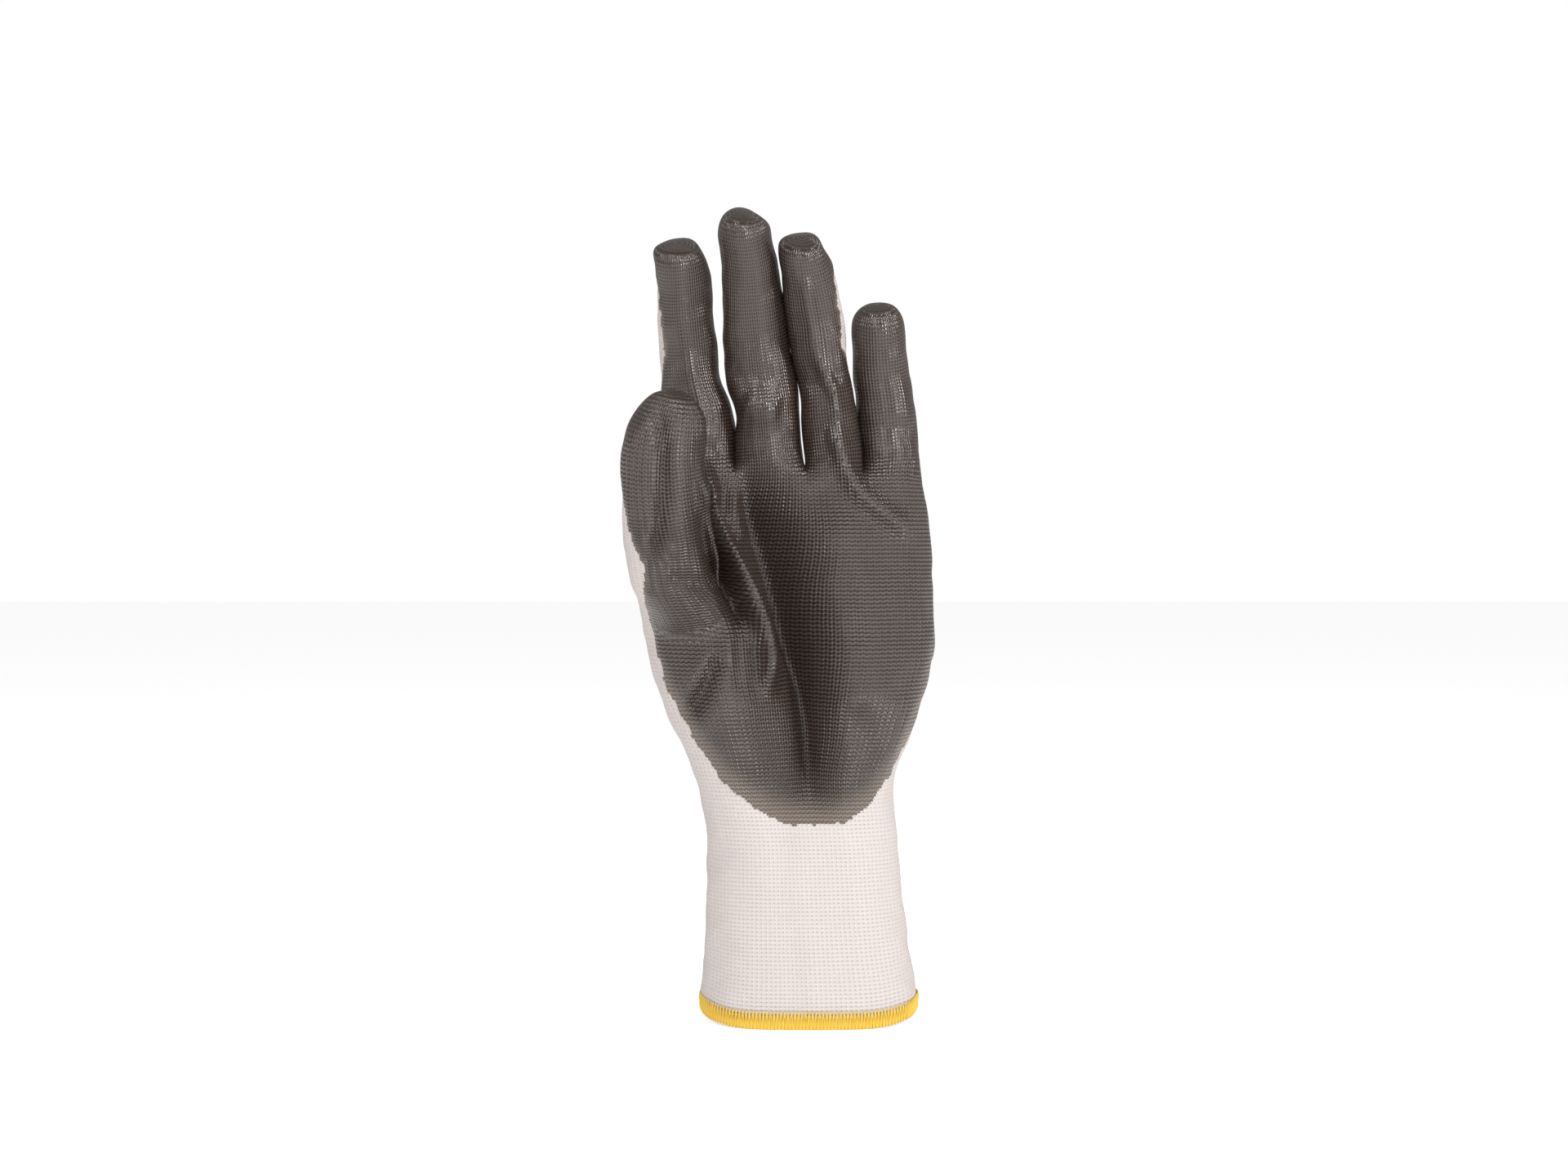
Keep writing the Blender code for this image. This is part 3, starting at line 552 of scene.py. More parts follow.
def finger_ring(spec, distance, size):
    """A ring of points round a finger, and the coating's value at each."""
    centre, direction = finger_spot(spec, distance)
    _, across = finger_frame(spec)
    forward = across.cross(direction)
    share = distance / spec["length"]
    width = along(spec["widths"], min(share, TIP_SHARE)) * size / FINGER_LIFT
    depth = along(spec["depths"], min(share, TIP_SHARE)) * size / FINGER_LIFT
    points, coat = [], []
    upper_half = math.sin(math.pi * min(1.0, max(0.0, (share - 0.3) / 0.65)))
    coat_turn = math.radians(spec["coat_turn"] * upper_half)
    for k in range(FINGER_COLUMNS):
        turn = math.radians(30 + 360 * k / FINGER_COLUMNS)
        points.append(centre - across * width * math.cos(turn) + forward * depth * math.sin(turn))
        coat.append(depth * (math.sin(turn + coat_turn) + COAT_WRAP) + tip_coat(size))
    return points, coat


def finger_rows(spec):
    """(distance, size, section) of each ring between the crotch and the tip."""
    stops = spec["hinges"]
    rounding = TIP_ROUNDING * spec["widths"][2]
    round_from = spec["length"] - rounding
    middles = ((stops[0] + stops[1]) / 2, (stops[1] + stops[2]) / 2)
    rows = [(FIRST_RING, 1.0, 0), (stops[0], 1.0, 0)]
    marks = (stops[0], middles[0], stops[1], middles[1], stops[2], round_from)
    for a, b, section in zip(marks[:-1], marks[1:], (0, 1, 1, 2, 2)):
        rows += [(a + (b - a) * t, 1.0, section) for t in (0.5, 1.0)]
    for t in (0.38, 0.68, 0.88):
        rows.append((round_from + rounding * t, (1 - t ** spec["blunt"]) ** (1 / spec["blunt"]), 2))
    return rows


def add_fingers(cage, crotch_row, tube_u):
    """The four fingers, each from its own lane of the crotch row."""
    middles = []
    for i in (1, 2, 3):
        column = LANE_COLUMNS * i
        front, back = cage.points[crotch_row[column]], cage.points[crotch_row[BACK_LAST - column]]
        middles.append(cage.add([(front + back) / 2 - Vector((0, 0, 1.0))], [1.5])[0])
    sides = [crotch_row[LEFT_SIDE], *middles, crotch_row[RIGHT_SIDE]]
    for i, spec in enumerate(FINGERS.values()):
        start, end = LANE_COLUMNS * i, LANE_COLUMNS * (i + 1)
        front, back = slice(start, end + 1), slice(BACK_LAST - end, BACK_LAST - start + 1)
        low = [*crotch_row[front], sides[i + 1], *crotch_row[back], sides[i]]
        front_u, back_u = tube_u[front], tube_u[back]
        side = 2.0 + abs(cage.points[low[4]].y - cage.points[low[6]].y) / WALE * 0.7
        shift = round(front_u[4] + side - back_u[0])
        back_u = [value + shift for value in back_u]
        u = [*front_u, (front_u[4] + back_u[0]) / 2, *back_u]
        total = round(u[10] - u[0] + side)
        u += [(u[10] + u[0] + total) / 2, u[0] + total]
        v_low = CROTCH_Z / COURSE
        for distance, size, section in finger_rows(spec):
            row = cage.add(*finger_ring(spec, distance, size))
            v = CROTCH_Z / COURSE + distance / FINGER_COURSE
            lower_v, upper_v = [v_low] * FINGER_COLUMNS, [v] * FINGER_COLUMNS
            cage.strip(low, row, u, lower_v, upper_v, FIRST_FINGER + 3 * i + section)
            low, v_low = row, v
        tip, _ = finger_spot(spec, spec["length"])
        cage.cap(low, tip, u, v_low, v_low + TIP_ROWS, FIRST_FINGER + 3 * i + 2, TIP_COAT)


def thumb_ring(share, size=1.0):
    """A ring of points round the thumb, and the coating's value at each."""
    centre, direction, width, depth = thumb_spot(share)
    across = Vector((0, 1, 0)).cross(direction).normalized()
    forward = across.cross(direction)
    reach = size / THUMB_LIFT
    starts = float(np.interp(share, *zip(*THUMB_BARE_SIDE)))
    points, coat = [], []
    for k in range(THUMB_COLUMNS):
        angle = THUMB_TWIST + 90 - 360 * k / THUMB_COLUMNS
        turn = math.radians(angle)
        spot = forward * depth * reach * math.sin(turn) - across * width * reach * math.cos(turn)
        points.append(centre + spot)
        from_left = (angle + 120) % 360 - 120
        inside = THUMB_COAT_SLOPE * min(from_left - starts, THUMB_COAT_TO - from_left)
        coat.append(inside + tip_coat(size))
    return points, coat


def add_thumb(cage, root):
    """The thumb, from the ring of points left open for its root."""
    low = root
    first, _ = thumb_ring(0.3)
    u = wale_counts(first)
    v_root = [cage.points[i].z / COURSE for i in root]
    v_middle = sum(v_root) / len(v_root)
    length = sum((Vector(a) - Vector(b)).length for a, b in zip(THUMB_LINE, THUMB_LINE[1:]))
    rows = [(s, 1.0) for s in THUMB_STOPS]
    for t in (0.36, 0.66, 0.88):
        size = (1 - t**THUMB_BLUNT) ** (1 / THUMB_BLUNT)
        rows.append((THUMB_ROUND_FROM + (1 - THUMB_ROUND_FROM) * t, size))
    v = v_root
    for share, size in rows:
        row = cage.add(*thumb_ring(share, size))
        slant = max(0.0, 1 - share / THUMB_SPLIT)
        v_row = [v_middle + share * length / FINGER_COURSE + (a - v_middle) * slant for a in v_root]
        part = THUMB_BASE if share <= THUMB_SPLIT else THUMB_TIP
        cage.strip(low, row, u, v, v_row, part, flip=True)
        low, v = row, v_row
    cage.cap(low, Vector(THUMB_LINE[-1]), u, v[0], v[0] + TIP_ROWS, THUMB_TIP, TIP_COAT, flip=True)


def fine_mesh(cage):
    """The cage smoothed into the glove's surface."""
    mesh = bpy.data.meshes.new("cage")
    mesh.from_pydata(cage.points, [], cage.faces)
    layer = mesh.uv_layers.new(name="Stitches")
    layer.data.foreach_set("uv", np.array(cage.corners_uv, np.float32).ravel())
    mesh.attributes.new("part", "INT", "FACE").data.foreach_set("value", cage.part)
    mesh.attributes.new("coat", "FLOAT", "POINT").data.foreach_set("value", cage.coat)
    holder = add_object("cage", mesh)
    divide = holder.modifiers.new("Smooth", "SUBSURF")
    divide.levels = divide.render_levels = SUBDIVISIONS
    bpy.context.view_layer.update()
    made = bpy.data.meshes.new_from_object(holder.evaluated_get(bpy.context.evaluated_depsgraph_get()))
    bpy.data.objects.remove(holder, do_unlink=True)
    return made


def read(items, key, width=1, kind=np.float32):
    """The values under a key of a mesh's items, in rows of the given width."""
    values = np.empty(len(items) * width, kind)
    items.foreach_get(key, values)
    return values.reshape(-1, width) if width > 1 else values


def vertices(mesh):
    return read(mesh.vertices, "co", 3).astype(float)


def normals(mesh):
    return read(mesh.vertex_normals, "vector", 3).astype(float)


# ---- folds ----


def line_distance(x, z, line):
    """Distance of each point from a line seen from the front, and its place along it, 0 to 1."""
    nearest, place = np.full(len(x), 1e9), np.zeros(len(x))
    lengths = [math.dist(a, b) for a, b in zip(line, line[1:])]
    total, done = sum(lengths), 0.0
    for a, b, length in zip(line, line[1:], lengths):
        t = ((x - a[0]) * (b[0] - a[0]) + (z - a[1]) * (b[1] - a[1])) / length**2
        t = np.clip(t, 0, 1)
        away = np.hypot(x - a[0] - t * (b[0] - a[0]), z - a[1] - t * (b[1] - a[1]))
        closer = away < nearest
        nearest = np.where(closer, away, nearest)
        place = np.where(closer, (done + t * length) / total, place)
        done += length
    return nearest, place


def curved(line, steps=5):
    """More points on a smooth curve through a fold's points."""
    rows = [(float(i), *p) for i, p in enumerate(line)]
    count = (len(line) - 1) * steps
    return [tuple(read_table(rows, (len(line) - 1) * i / count)) for i in range(count + 1)]


def evened(values, edges, rounds):
    """Values on the vertices, averaged with their neighbours."""
    a, b = edges[:, 0], edges[:, 1]
    count = np.bincount(a, minlength=len(values)) + np.bincount(b, minlength=len(values)) + 1
    for _ in range(rounds):
        around = np.bincount(a, values[b], len(values)) + np.bincount(b, values[a], len(values))
        values = (values + around) / count
    return values


def add_folds(co, normal, edges):
    """Pushes the fabric's front in along the valleys and out along the ridges, fading at their ends."""
    x, z = co[:, 0].copy(), co[:, 2].copy()
    facing = evened(smooth(*FOLD_FACING, -normal[:, 1]), edges, FACING_ROUNDS)
    push = np.zeros(len(co))
    for sign, folds in ((-1, VALLEYS), (1, RIDGES)):
        for _, reach, height, *line in folds:
            away, place = line_distance(x, z, curved(line))
            ends = smooth(0.0, 0.2, place) * smooth(0.0, 0.2, 1 - place)
            push += sign * height * np.exp(-((away / reach) ** 2)) * ends
    push = evened(push * facing, edges, PUSH_ROUNDS)
    lean = FOLD_LEAN * push * smooth(84, 118, z) * (1 - smooth(150, 168, z))
    return co + np.stack([lean, -push, np.zeros(len(co))], axis=1)


def hem_rise(x):
    """How far the hem rises: none at front and back, a little at the two sides."""
    return HEM_LIFT * np.clip((np.abs(x) / HALF_CUFF - 0.5) / 0.5, 0, None) ** 2


def add_lumps(co):
    """Shifts the fabric at the lumps, and lifts the cuff's sides by the hem's rise."""
    x, z = co[:, 0].copy(), co[:, 2].copy()
    moved = co.copy()
    for _, at_x, at_z, reach, push_x, push_z in LUMPS:
        near = np.exp(-((x - at_x) ** 2 + (z - at_z) ** 2) / reach**2)
        moved[:, 0] += push_x * near
        moved[:, 2] += push_z * near
    moved[:, 2] += hem_rise(x) * np.clip(1 - z / HEM_RISE_FADE, 0, 1)
    return moved


def soft_noise(co, scale, seed):
    """A slow wave made of a few sines in random directions."""
    wave = np.zeros(len(co))
    local = np.random.default_rng(seed)
    for _ in range(9):
        direction = local.normal(size=3)
        direction /= np.linalg.norm(direction)
        wave += np.sin(co @ direction * TWO_PI / (scale * local.uniform(0.7, 1.5)) + local.uniform(0, TWO_PI))
    return wave / 4.0


def waves(co, parts):
    """Several slow waves together, each given as (height, length, seed)."""
    return sum(height * soft_noise(co, scale, seed) for height, scale, seed in parts)


def add_slack(co, normal):
    """Small uneven slack all over, and a little more in the cuff."""
    cuff = 1 - smooth(50, 75, co[:, 2])
    rumple = waves(co, RUMPLE)
    ribs = waves(co * np.array((1, 1, RIB_STRETCH)), CUFF_RIBS) * cuff
    tip_calm = 1 - smooth(225, 240, co[:, 2])
    return co + normal * ((rumple * tip_calm + ribs) * smooth(2, 9, co[:, 2]))[:, None]


# ---- where the coating lies ----


def coat_edge(x):
    """Height of the coating's lower edge: a round tongue, higher at the thumb side."""
    found = np.full(len(x), COAT_FOOT)
    for side, (start, reach, rise, power) in ((-1, THUMB_SIDE_RISE), (1, LITTLE_SIDE_RISE)):
        found += rise * np.clip(side * (x - start) / reach, 0, 2) ** power
    return found


def coat_field(co, normal, ring_coat, part):
    """How far each vertex lies inside the coating's edge, below zero outside it."""
    x, z = co[:, 0], co[:, 2]
    wobble = waves(co, COAT_WOBBLE)
    low = z - coat_edge(x) + wobble
    front = 11.0 * (-normal[:, 1] + 0.12) + (0.3 + smooth(84, 104, z)) * wobble
    rounded = -COAT_CORNER * np.logaddexp(-low / COAT_CORNER, -front / COAT_CORNER)
    thumb_side = x - np.interp(z, *zip(*LEFT_EDGE))
    palm = np.minimum(rounded, thumb_side * 1.5 + 0.4 * wobble)
    rings = ring_coat + wobble
    upper, leave = smooth(134, 150, z), smooth(126, 140, z)
    palm = palm * (1 - upper) + rings * upper
    thumb = palm * (1 - leave) + rings * leave
    on_thumb = (part == THUMB_BASE) | (part == THUMB_TIP)
    return np.where(on_thumb, thumb, np.where(part <= PALM, palm, rings))


def vertex_part(mesh, face_part, faces):
    """The highest part number of the faces round each vertex."""
    found = np.zeros(len(mesh.vertices), np.int32)
    np.maximum.at(found, faces.ravel(), np.repeat(face_part, 4))
    return found


# ---- cutting the surface into pieces ----


def cut_piece(name, co, normal, faces, uv, extra):
    """A mesh of some of the faces, with the whole surface's shading carried over."""
    used, index = np.unique(faces.ravel(), return_inverse=True)
    mesh = bpy.data.meshes.new(name)
    mesh.from_pydata((co[used] * MM).tolist(), [], index.reshape(-1, 4).tolist())
    mesh.uv_layers.new(name="Stitches").data.foreach_set("uv", uv.astype(np.float32).ravel())
    for key, values in extra.items():
        layer = mesh.attributes.new(key, "FLOAT", "POINT")
        layer.data.foreach_set("value", values[used].astype(np.float32))
    mesh.shade_smooth()
    mesh.normals_split_custom_set_from_vertices(normal[used].astype(np.float32))
    return add_object(name, mesh)


def part_names():
    """The name of each part number. A part that bends has its joint's name."""
    names = {CUFF: "cuff", WRIST: "wrist", PALM: "palm", THUMB_BASE: "thumb_base", THUMB_TIP: "thumb_tip"}
    for i, finger in enumerate(FINGERS):
        for s, label in enumerate(SECTIONS):
            names[FIRST_FINGER + 3 * i + s] = f"{finger}_{label}"
    return names


def bend_ends(name):
    """The two bodies a piece bends between, and where its bend starts and ends."""
    joint = next(j for j in frame["record"]["behaviour"]["joints"] if j["name"] == name)
    at = Vector(joint["pos_m"])
    if name == "wrist":
        below = above = Vector((0, 0, WRIST_BEND))
    elif name in THUMB_BENDS:
        share, reach = THUMB_BENDS[name]
        _, direction, _, _ = thumb_spot(share)
        below, above = direction * reach, direction * reach * THUMB_BEND_ABOVE
    else:
        finger, label = name.split("_")
        spec = FINGERS[finger]
        _, direction = finger_spot(spec, spec["hinges"][SECTIONS.index(label)])
        below = above = direction * (LITTLE_BEND if finger == "little" else FINGER_BEND)
    return joint["parent"], joint["child"], at - below, at + above


def finish_piece(piece, name, look, nodes):
    """Gives a piece its material and slot, and fixes the cuff and palm to their bodies; other pieces are not
    bent.
    """
    piece.data.materials.append(look)
    if name in ("cuff", "palm"):
        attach(piece, name)
    else:
        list(bend_ends(name))
        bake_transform(piece)
    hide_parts(*nodes)


def nodes_for(name):
    """The CAD nodes that the part's knit piece and coating piece replace."""
    if name in NODES_OF:
        return NODES_OF[name]
    return (f"{name}_knit", f"{name}_bend"), (f"{name}_coating",)


def corner_values(mesh):
    """The vertices of each face, and the stitch coordinates of its corners."""
    faces = read(mesh.loops, "vertex_index", kind=np.int32)
    uv = read(mesh.uv_layers["Stitches"].data, "uv", 2)
    return faces.reshape(-1, 4), uv.reshape(-1, 4, 2)


def shape_fabric(mesh):
    """Moves the points by lumps, slack and folds. Returns their places and shading normals."""
    co, normal = vertices(mesh), normals(mesh)
    edges = read(mesh.edges, "vertices", 2, np.int32)
    co = add_folds(add_slack(add_lumps(co), normal), normal, edges)
    mesh.vertices.foreach_set("co", co.astype(np.float32).ravel())
    mesh.update()
    return co, normals(mesh)


def build_fabric(knit, coating):
    """Makes the surface and cuts it into a knit piece and a coating piece for each part."""
    mesh = fine_mesh(build_cage())
    faces, uv = corner_values(mesh)
    face_part = read(mesh.attributes["part"].data, "value", kind=np.int32)
    ring_coat = read(mesh.attributes["coat"].data, "value")
    part = vertex_part(mesh, face_part, faces)
    coat = coat_field(vertices(mesh), normals(mesh), ring_coat, part)
    co, normal = shape_fabric(mesh)
    face_coat = coat[faces].mean(axis=1)
    from_edge = co[:, 2] - coat_edge(co[:, 0])
    edge = np.maximum(1 - smooth(0.0, 10.0, from_edge), 0.7 * (1 - smooth(0.3, 2.2, coat)))
    tight = smooth(150, 176, co[:, 2]) * (1 - 0.5 * ((part == THUMB_BASE) | (part == THUMB_TIP)))
    raised = co + normal * (COAT_LIFT * (0.45 + 0.55 * smooth(0.0, 2.0, coat)))[:, None]
    for number, name in part_names().items():
        mine = face_part == number
        bare, covered = mine & (face_coat < LAP), mine & (face_coat > 0)
        knit_nodes, coat_nodes = nodes_for(name)
        piece = cut_piece(f"{name}_fabric", co, normal, faces[bare], uv[bare], {"edge": edge})
        finish_piece(piece, name, knit, knit_nodes)
        if covered.any():
            extra = {"edge": edge, "tight": tight}
            piece = cut_piece(f"{name}_skin", raised, normal, faces[covered], uv[covered], extra)
            finish_piece(piece, name, coating, coat_nodes)
    bpy.data.meshes.remove(mesh)


# ---- materials ----


class Nodes:
    """A new material, and short ways to add its shader nodes."""

    def __init__(self, name):
        self.material = bpy.data.materials.new(name)
        self.material.use_nodes = True
        self.tree = self.material.node_tree
        self.shader = self.tree.nodes["Principled BSDF"]

    def add(self, kind, **settings):
        node = self.tree.nodes.new(kind)
        for key, value in settings.items():
            setattr(node, key, value)
        return node

    def join(self, value, socket):
        if isinstance(value, (int, float, tuple)):
            socket.default_value = value
        else:
            self.tree.links.new(value, socket)

    def shade(self, name, value):
        self.join(value, self.shader.inputs[name])

    def noise(self, scale, detail=2.0):
        node = self.add("ShaderNodeTexNoise")
        node.inputs["Scale"].default_value = scale
        node.inputs["Detail"].default_value = detail
        return node.outputs["Fac"]

    def math(self, operation, a, b=None):
        node = self.add("ShaderNodeMath", operation=operation)
        self.join(a, node.inputs[0])
        if b is not None:
            self.join(b, node.inputs[1])
        return node.outputs[0]

    def times(self, a, b):
        return self.math("MULTIPLY", a, b)

    def plus(self, a, b):
        return self.math("ADD", a, b)

    def minus(self, a, b):
        return self.math("SUBTRACT", a, b)

    def mix(self, factor, first, second):
        node = self.add("ShaderNodeMix", data_type="RGBA")
        self.join(factor, node.inputs["Factor"])
        for value, socket in ((first, node.inputs["A"]), (second, node.inputs["B"])):
            self.join((*value, 1.0) if isinstance(value, tuple) else value, socket)
        return node.outputs["Result"]

    def ramp(self, value, low, high):
        node = self.add("ShaderNodeMapRange", interpolation_type="SMOOTHSTEP")
        self.join(value, node.inputs["Value"])
        node.inputs["From Min"].default_value = low
        node.inputs["From Max"].default_value = high
        return node.outputs["Result"]


def stitches(nodes, tight=0.0):
    """Height of the V-shaped stitches, and nearness to the gap in each. Tight fabric shows its columns."""
    uv = nodes.add("ShaderNodeUVMap", uv_map="Stitches")
    parts = nodes.add("ShaderNodeSeparateXYZ")
    nodes.join(uv.outputs["UV"], parts.inputs["Vector"])
    u, v = parts.outputs["X"], parts.outputs["Y"]
    from_middle = nodes.math("ABSOLUTE", nodes.minus(nodes.math("FRACT", u), 0.5))
    slanted = nodes.plus(v, nodes.times(from_middle, 0.5))
    row = nodes.math("COSINE", nodes.times(slanted, TWO_PI))
    leg = nodes.math("COSINE", nodes.times(u, 2 * TWO_PI))
    row_weight = nodes.minus(0.50, nodes.times(tight, 0.22))
    leg_weight = nodes.minus(-0.20, nodes.times(tight, 0.16))
    rows, legs = nodes.times(row, row_weight), nodes.times(leg, leg_weight)
    height = nodes.plus(rows, legs)
    across = nodes.math("DIVIDE", from_middle, 0.30)
    up = nodes.minus(nodes.math("FRACT", v), 0.5)
    up = nodes.math("DIVIDE", nodes.math("ABSOLUTE", up), 0.22)
    square = nodes.plus(nodes.times(across, across), nodes.times(up, up))
    gap = nodes.minus(1.0, nodes.ramp(square, 0.3, 1.0))
    return height, gap


def bump(nodes, height, distance):
    """Gives the surface a relief of this height in metres."""
    node = nodes.add("ShaderNodeBump")
    node.inputs["Distance"].default_value = distance
    nodes.join(height, node.inputs["Height"])
    nodes.shade("Normal", node.outputs["Normal"])


def knit_material():
    """White yarn in rows of stitches, with painted shade making the gaps a little darker."""
    nodes = Nodes("knit")
    height, gap = stitches(nodes)
    # Painted shade: the colour darkens towards the gap in each stitch.
    colour = nodes.mix(gap, KNIT_YARN, KNIT_GAP_SHADE)
    nodes.shade("Base Color", colour)
    nodes.shade("Roughness", KNIT_ROUGHNESS)
    lowered = nodes.minus(height, nodes.times(gap, 0.9))
    bump(nodes, lowered, KNIT_RELIEF)
    return nodes.material


def coating_material():
    """Grey dip with painted highlight and shade on its stitches, lighter and duller where it runs out."""
    nodes = Nodes("coating")
    edge = nodes.add("ShaderNodeAttribute", attribute_name="edge").outputs["Fac"]
    tight = nodes.add("ShaderNodeAttribute", attribute_name="tight").outputs["Fac"]
    height, _ = stitches(nodes, tight)
    peak = nodes.ramp(height, -0.2, 0.5)
    thin = nodes.times(edge, nodes.plus(nodes.times(peak, 0.6), 0.4))
    # Painted highlight and shade: lighter on the stitch crests, darker in the dips between them.
    base = nodes.mix(peak, COAT_PAINTED_DIP_SHADE, COAT_PAINTED_CREST_HIGHLIGHT)
    colour = nodes.mix(thin, base, COAT_THIN)
    nodes.shade("Base Color", colour)
    rough = nodes.times(nodes.noise(900.0), ROUGHNESS_SPECKLE)
    rough = nodes.plus(rough, COAT_ROUGHNESS)
    rough = nodes.plus(rough, nodes.times(edge, EDGE_ROUGHNESS))
    rough = nodes.minus(rough, nodes.times(tight, TIGHT_GLOSS))
    nodes.shade("Roughness", rough)
    nodes.shade("Specular IOR Level", 0.55)
    relief = nodes.minus(1.0, nodes.times(tight, 0.62))
    bump(nodes, nodes.times(height, relief), COAT_RELIEF)
    return nodes.material


def thread_material(name, colour, roughness):
    """A twisted thread with fine strands."""
    nodes = Nodes(name)
    strands = nodes.noise(1500.0, 3.0)
    tone = nodes.mix(strands, tuple(0.8 * c for c in colour), colour)
    nodes.shade("Base Color", tone)
    nodes.shade("Roughness", roughness)
    nodes.shade("Sheen Weight", 0.2)
    bump(nodes, strands, THREAD_RELIEF)
    return nodes.material


# ---- the hem and the elastic ----


def hem_outline(count):
    """Points evenly round the cuff's lower edge, with outward directions."""
    corners = [Vector((*p.xy, 0)) for p in tube_row([HEM_ROW] * TUBE_COLUMNS)]
    smooth_line = []
    for k in range(TUBE_COLUMNS):
        a, b, c, d = (corners[(k + j) % TUBE_COLUMNS] for j in (-1, 0, 1, 2))
        for t in np.arange(8) / 8:
            point = a * (1 - t) ** 3 + b * (3 * t**3 - 6 * t**2 + 4)
            point += c * (3 * t - 3 * t**3 + 3 * t**2 + 1)
            smooth_line.append((point + d * t**3) / 6)
    smooth_line.append(smooth_line[0])
    lengths = [0.0]
    for a, b in zip(smooth_line, smooth_line[1:]):
        lengths.append(lengths[-1] + (b - a).length)
    at = np.arange(count) / count * lengths[-1]
    x, y = (np.interp(at, lengths, [p[axis] for p in smooth_line]) for axis in (0, 1))
    tangent = np.stack([np.roll(x, -1) - np.roll(x, 1), np.roll(y, -1) - np.roll(y, 1)], axis=1)
    tangent /= np.linalg.norm(tangent, axis=1)[:, None]
    return x, y, tangent[:, 1], -tangent[:, 0]


def ring_faces(steps, count, sides):
    """Quads along a number of steps from one ring of points to the next."""
    faces = []
    for i in range(steps):
        n = (i + 1) % count
        for k in range(sides):
            m = (k + 1) % sides
            faces.append((i * sides + k, i * sides + m, n * sides + m, n * sides + k))
    return faces


def hem_band(look):
    """The body of the hem: a thick rounded band round the cuff's lower edge."""
    around, round_steps = 180, 10
    x, y, nx, ny = hem_outline(around)
    points = []
    for i in range(around):
        for k in range(round_steps):
            turn = TWO_PI * k / round_steps
            out = HEM_THICK * math.cos(turn) - 0.3
            up = HEM_TALL / 2 * (1 + math.sin(turn))
            points.append((x[i] + nx[i] * out, y[i] + ny[i] * out, up + hem_rise(x[i])))
    faces = [(a, d, c, b) for a, b, c, d in ring_faces(around, around, round_steps)]
    made = mesh_object("hem_band", points, faces, look)
    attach(made, "cuff")
    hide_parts("cuff_hem")


def tube_mesh(name, points, radius, sides, closed, look):
    """A round thread along a line of points."""
    points = np.array(points, float)
    ahead = np.roll(points, -1, axis=0) - np.roll(points, 1, axis=0)
    if not closed:
        ahead[0], ahead[-1] = points[1] - points[0], points[-1] - points[-2]
    ahead /= np.linalg.norm(ahead, axis=1)[:, None]
    side = np.cross(ahead, (0.0, 0.0, 1.0)) + 1e-9
    side /= np.linalg.norm(side, axis=1)[:, None]
    top = np.cross(side, ahead)
    ring = []
    for k in range(sides):
        turn = TWO_PI * k / sides
        ring.append(points + radius * (math.cos(turn) * side + math.sin(turn) * top))
    rows = np.stack(ring, axis=1)
    count = len(points)
    faces = ring_faces(count if closed else count - 1, count, sides)
    if not closed:
        faces.append(tuple(range(sides)))
        faces.append(tuple((count - 1) * sides + k for k in reversed(range(sides))))
    return mesh_object(name, rows.reshape(-1, 3).tolist(), faces, look)


def loop_shape(turn):
    """Height of an overlock loop at an angle, and how far out from the knit it runs."""
    z = -LOOP_BELOW + (LOOP_REACH + LOOP_BELOW) * (1 - math.cos(turn)) / 2
    if z >= HEM_TALL:
        return z, 0.75 - 0.25 * (z - HEM_TALL) / (LOOP_REACH - HEM_TALL)
    bulge = HEM_THICK + 0.05 if z < HEM_TALL * 0.8 else 1.0
    return z, (bulge - 0.35) * math.sin(min(1.0, z / 1.4 + 0.25) * math.pi / 2)


def hem_threads(look):
    """The hem's thread: loops that climb over the band on to the knit and back, all round."""
    x, y, nx, ny = hem_outline(HEM_STEPS)
    length = np.sum(np.hypot(np.roll(x, -1) - x, np.roll(y, -1) - y))
    total = round(length / LOOP_PITCH) * LOOP_STEPS
    points = []
    for i in range(total):
        k = int(i / total * HEM_STEPS)
        z, out = loop_shape(TWO_PI * (i % LOOP_STEPS) / LOOP_STEPS)
        rise = hem_rise(x[k]) * max(0, 1 - z / HEM_RISE_FADE)
        points.append((x[k] + nx[k] * out, y[k] + ny[k] * out, z + rise))
    made = tube_mesh("hem_thread", points, LOOP_THREAD, 6, True, look)
    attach(made, "cuff")


def elastic_thread(look):
    """A rubber thread that winds up inside the cuff."""
    steps = 60
    points = []
    for i in range(ELASTIC_TURNS * steps + 1):
        z = ELASTIC_FROM + ELASTIC_RISE * i / (ELASTIC_TURNS * steps)
        place = i % steps / steps * TUBE_COLUMNS
        column, part = int(place), place % 1
        spot = tube_point(z, column).lerp(tube_point(z, (column + 1) % TUBE_COLUMNS), part)
        points.append((spot.x * 0.92, spot.y * 0.90, z))
    made = tube_mesh("elastic_thread", points, ELASTIC_THREAD, 8, False, look)
    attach(made, "cuff")
    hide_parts("cuff_elastic")


# ---- setting ----


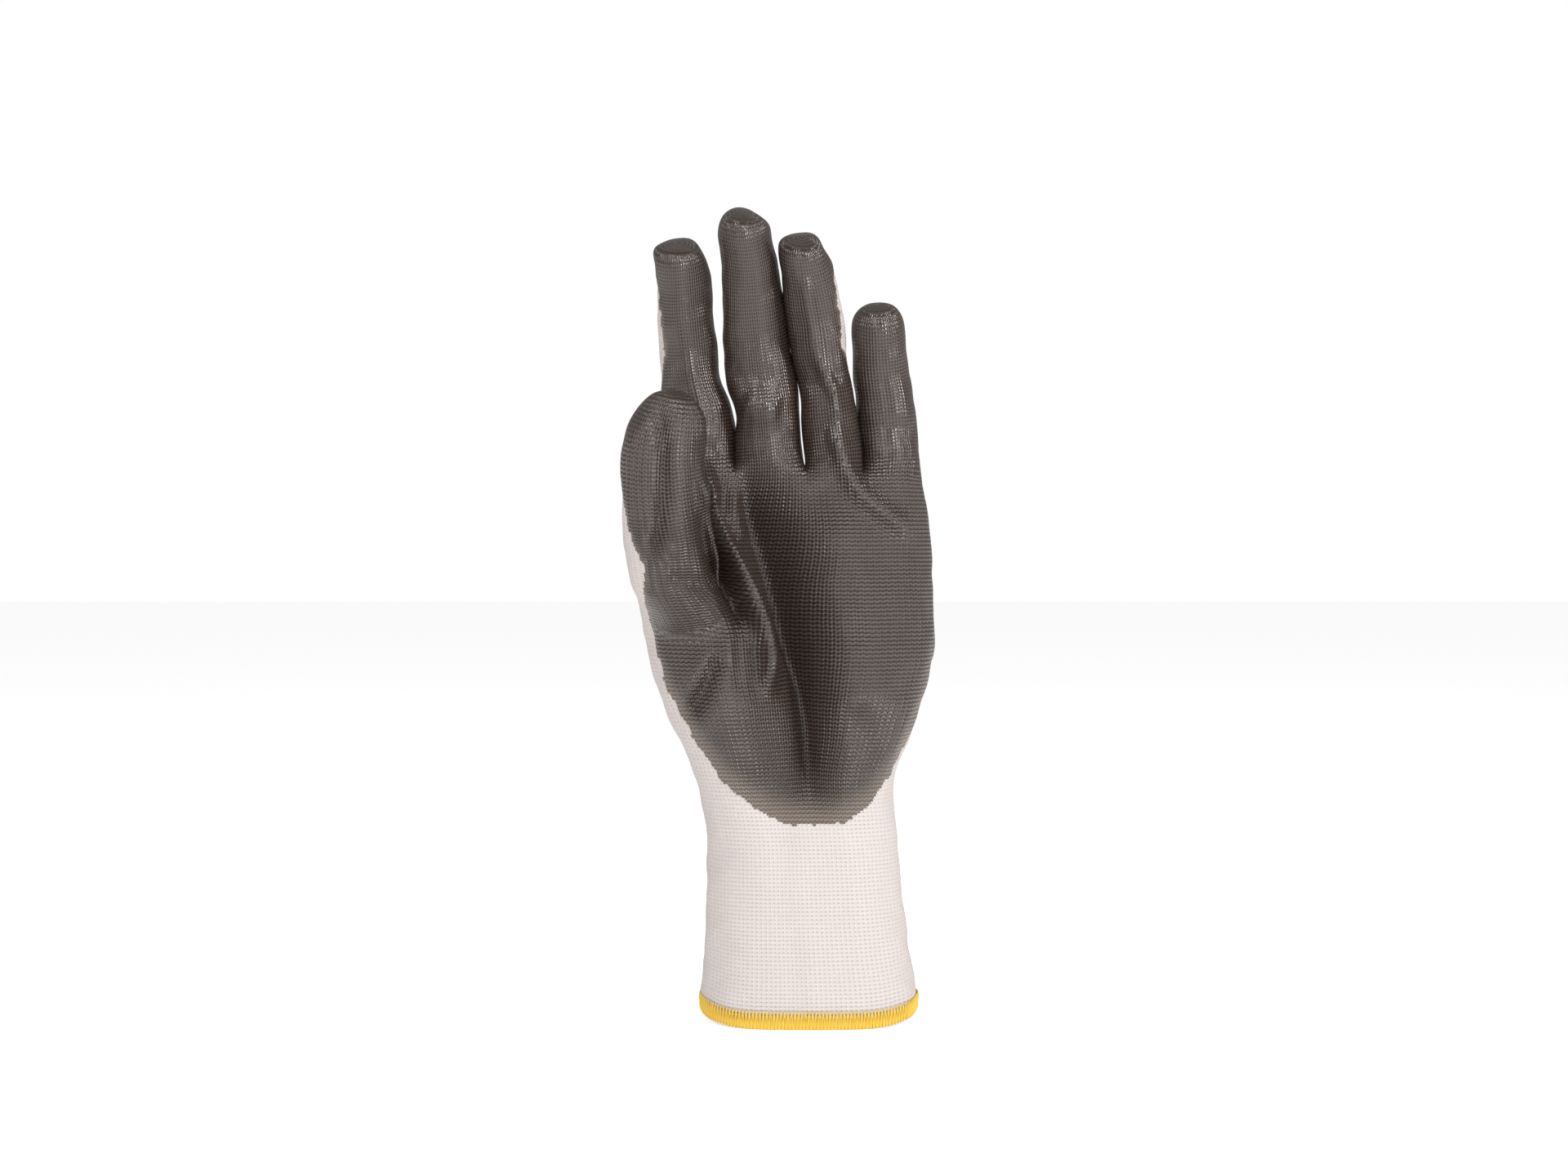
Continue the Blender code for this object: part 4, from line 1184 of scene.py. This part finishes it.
def set_camera():
    """The camera, at the photograph's viewing angle."""
    data = bpy.data.cameras.new("camera")
    data.lens = data.sensor_width * DISTANCE / FRAME_WIDTH
    made = add_object("camera", data)
    tilt = math.radians(ELEVATION)
    made.location = AIM + Vector((0, -math.cos(tilt), math.sin(tilt))) * DISTANCE
    made.rotation_euler = (AIM - made.location).to_track_quat("-Z", "Y").to_euler()
    bpy.context.scene.camera = made


def area_light(name, at, size, power):
    """A soft rectangular light that points at the glove."""
    data = bpy.data.lights.new(name, "AREA")
    data.shape = "RECTANGLE"
    data.size, data.size_y = size
    data.energy = power
    made = add_object(name, data)
    made.location = at
    made.rotation_euler = (AIM - Vector(at)).to_track_quat("-Z", "Y").to_euler()


def set_light():
    """Plain studio light: a pale world and four soft lights."""
    world = bpy.data.worlds.new("studio")
    world.use_nodes = True
    tree = world.node_tree
    backdrop = tree.nodes["Background"]
    backdrop.inputs["Color"].default_value = (1.0, 1.0, 1.0, 1.0)
    rays = tree.nodes.new("ShaderNodeLightPath")
    seen = tree.nodes.new("ShaderNodeMapRange")
    seen.inputs["To Min"].default_value = AMBIENT
    tree.links.new(rays.outputs["Is Camera Ray"], seen.inputs["Value"])
    tree.links.new(seen.outputs["Result"], backdrop.inputs["Strength"])
    bpy.context.scene.world = world
    bpy.context.scene.view_settings.view_transform = "Standard"
    for light in LIGHTS:
        area_light(*light)


def set_floor():
    """A plain pale floor."""
    mesh = bpy.data.meshes.new("floor")
    corners = ((-1, -1), (1, -1), (1, 1), (-1, 1))
    mesh.from_pydata([(FLOOR_HALF * x, FLOOR_HALF * y, 0) for x, y in corners], [], [(0, 1, 2, 3)])
    made = add_object("floor", mesh)
    nodes = Nodes("floor")
    nodes.shade("Base Color", (0.85, 0.85, 0.85, 1.0))
    nodes.shade("Roughness", 0.9)
    nodes.shade("Emission Strength", FLOOR_GLOW)
    made.data.materials.append(nodes.material)


knit, coating = knit_material(), coating_material()
hem = thread_material("hem", HEM_YARN, HEM_ROUGHNESS)
elastic = thread_material("elastic", ELASTIC_YARN, ELASTIC_ROUGHNESS)
build_fabric(knit, coating)
hem_band(hem)
hem_threads(hem)
elastic_thread(elastic)
set_camera()
set_light()
set_floor()
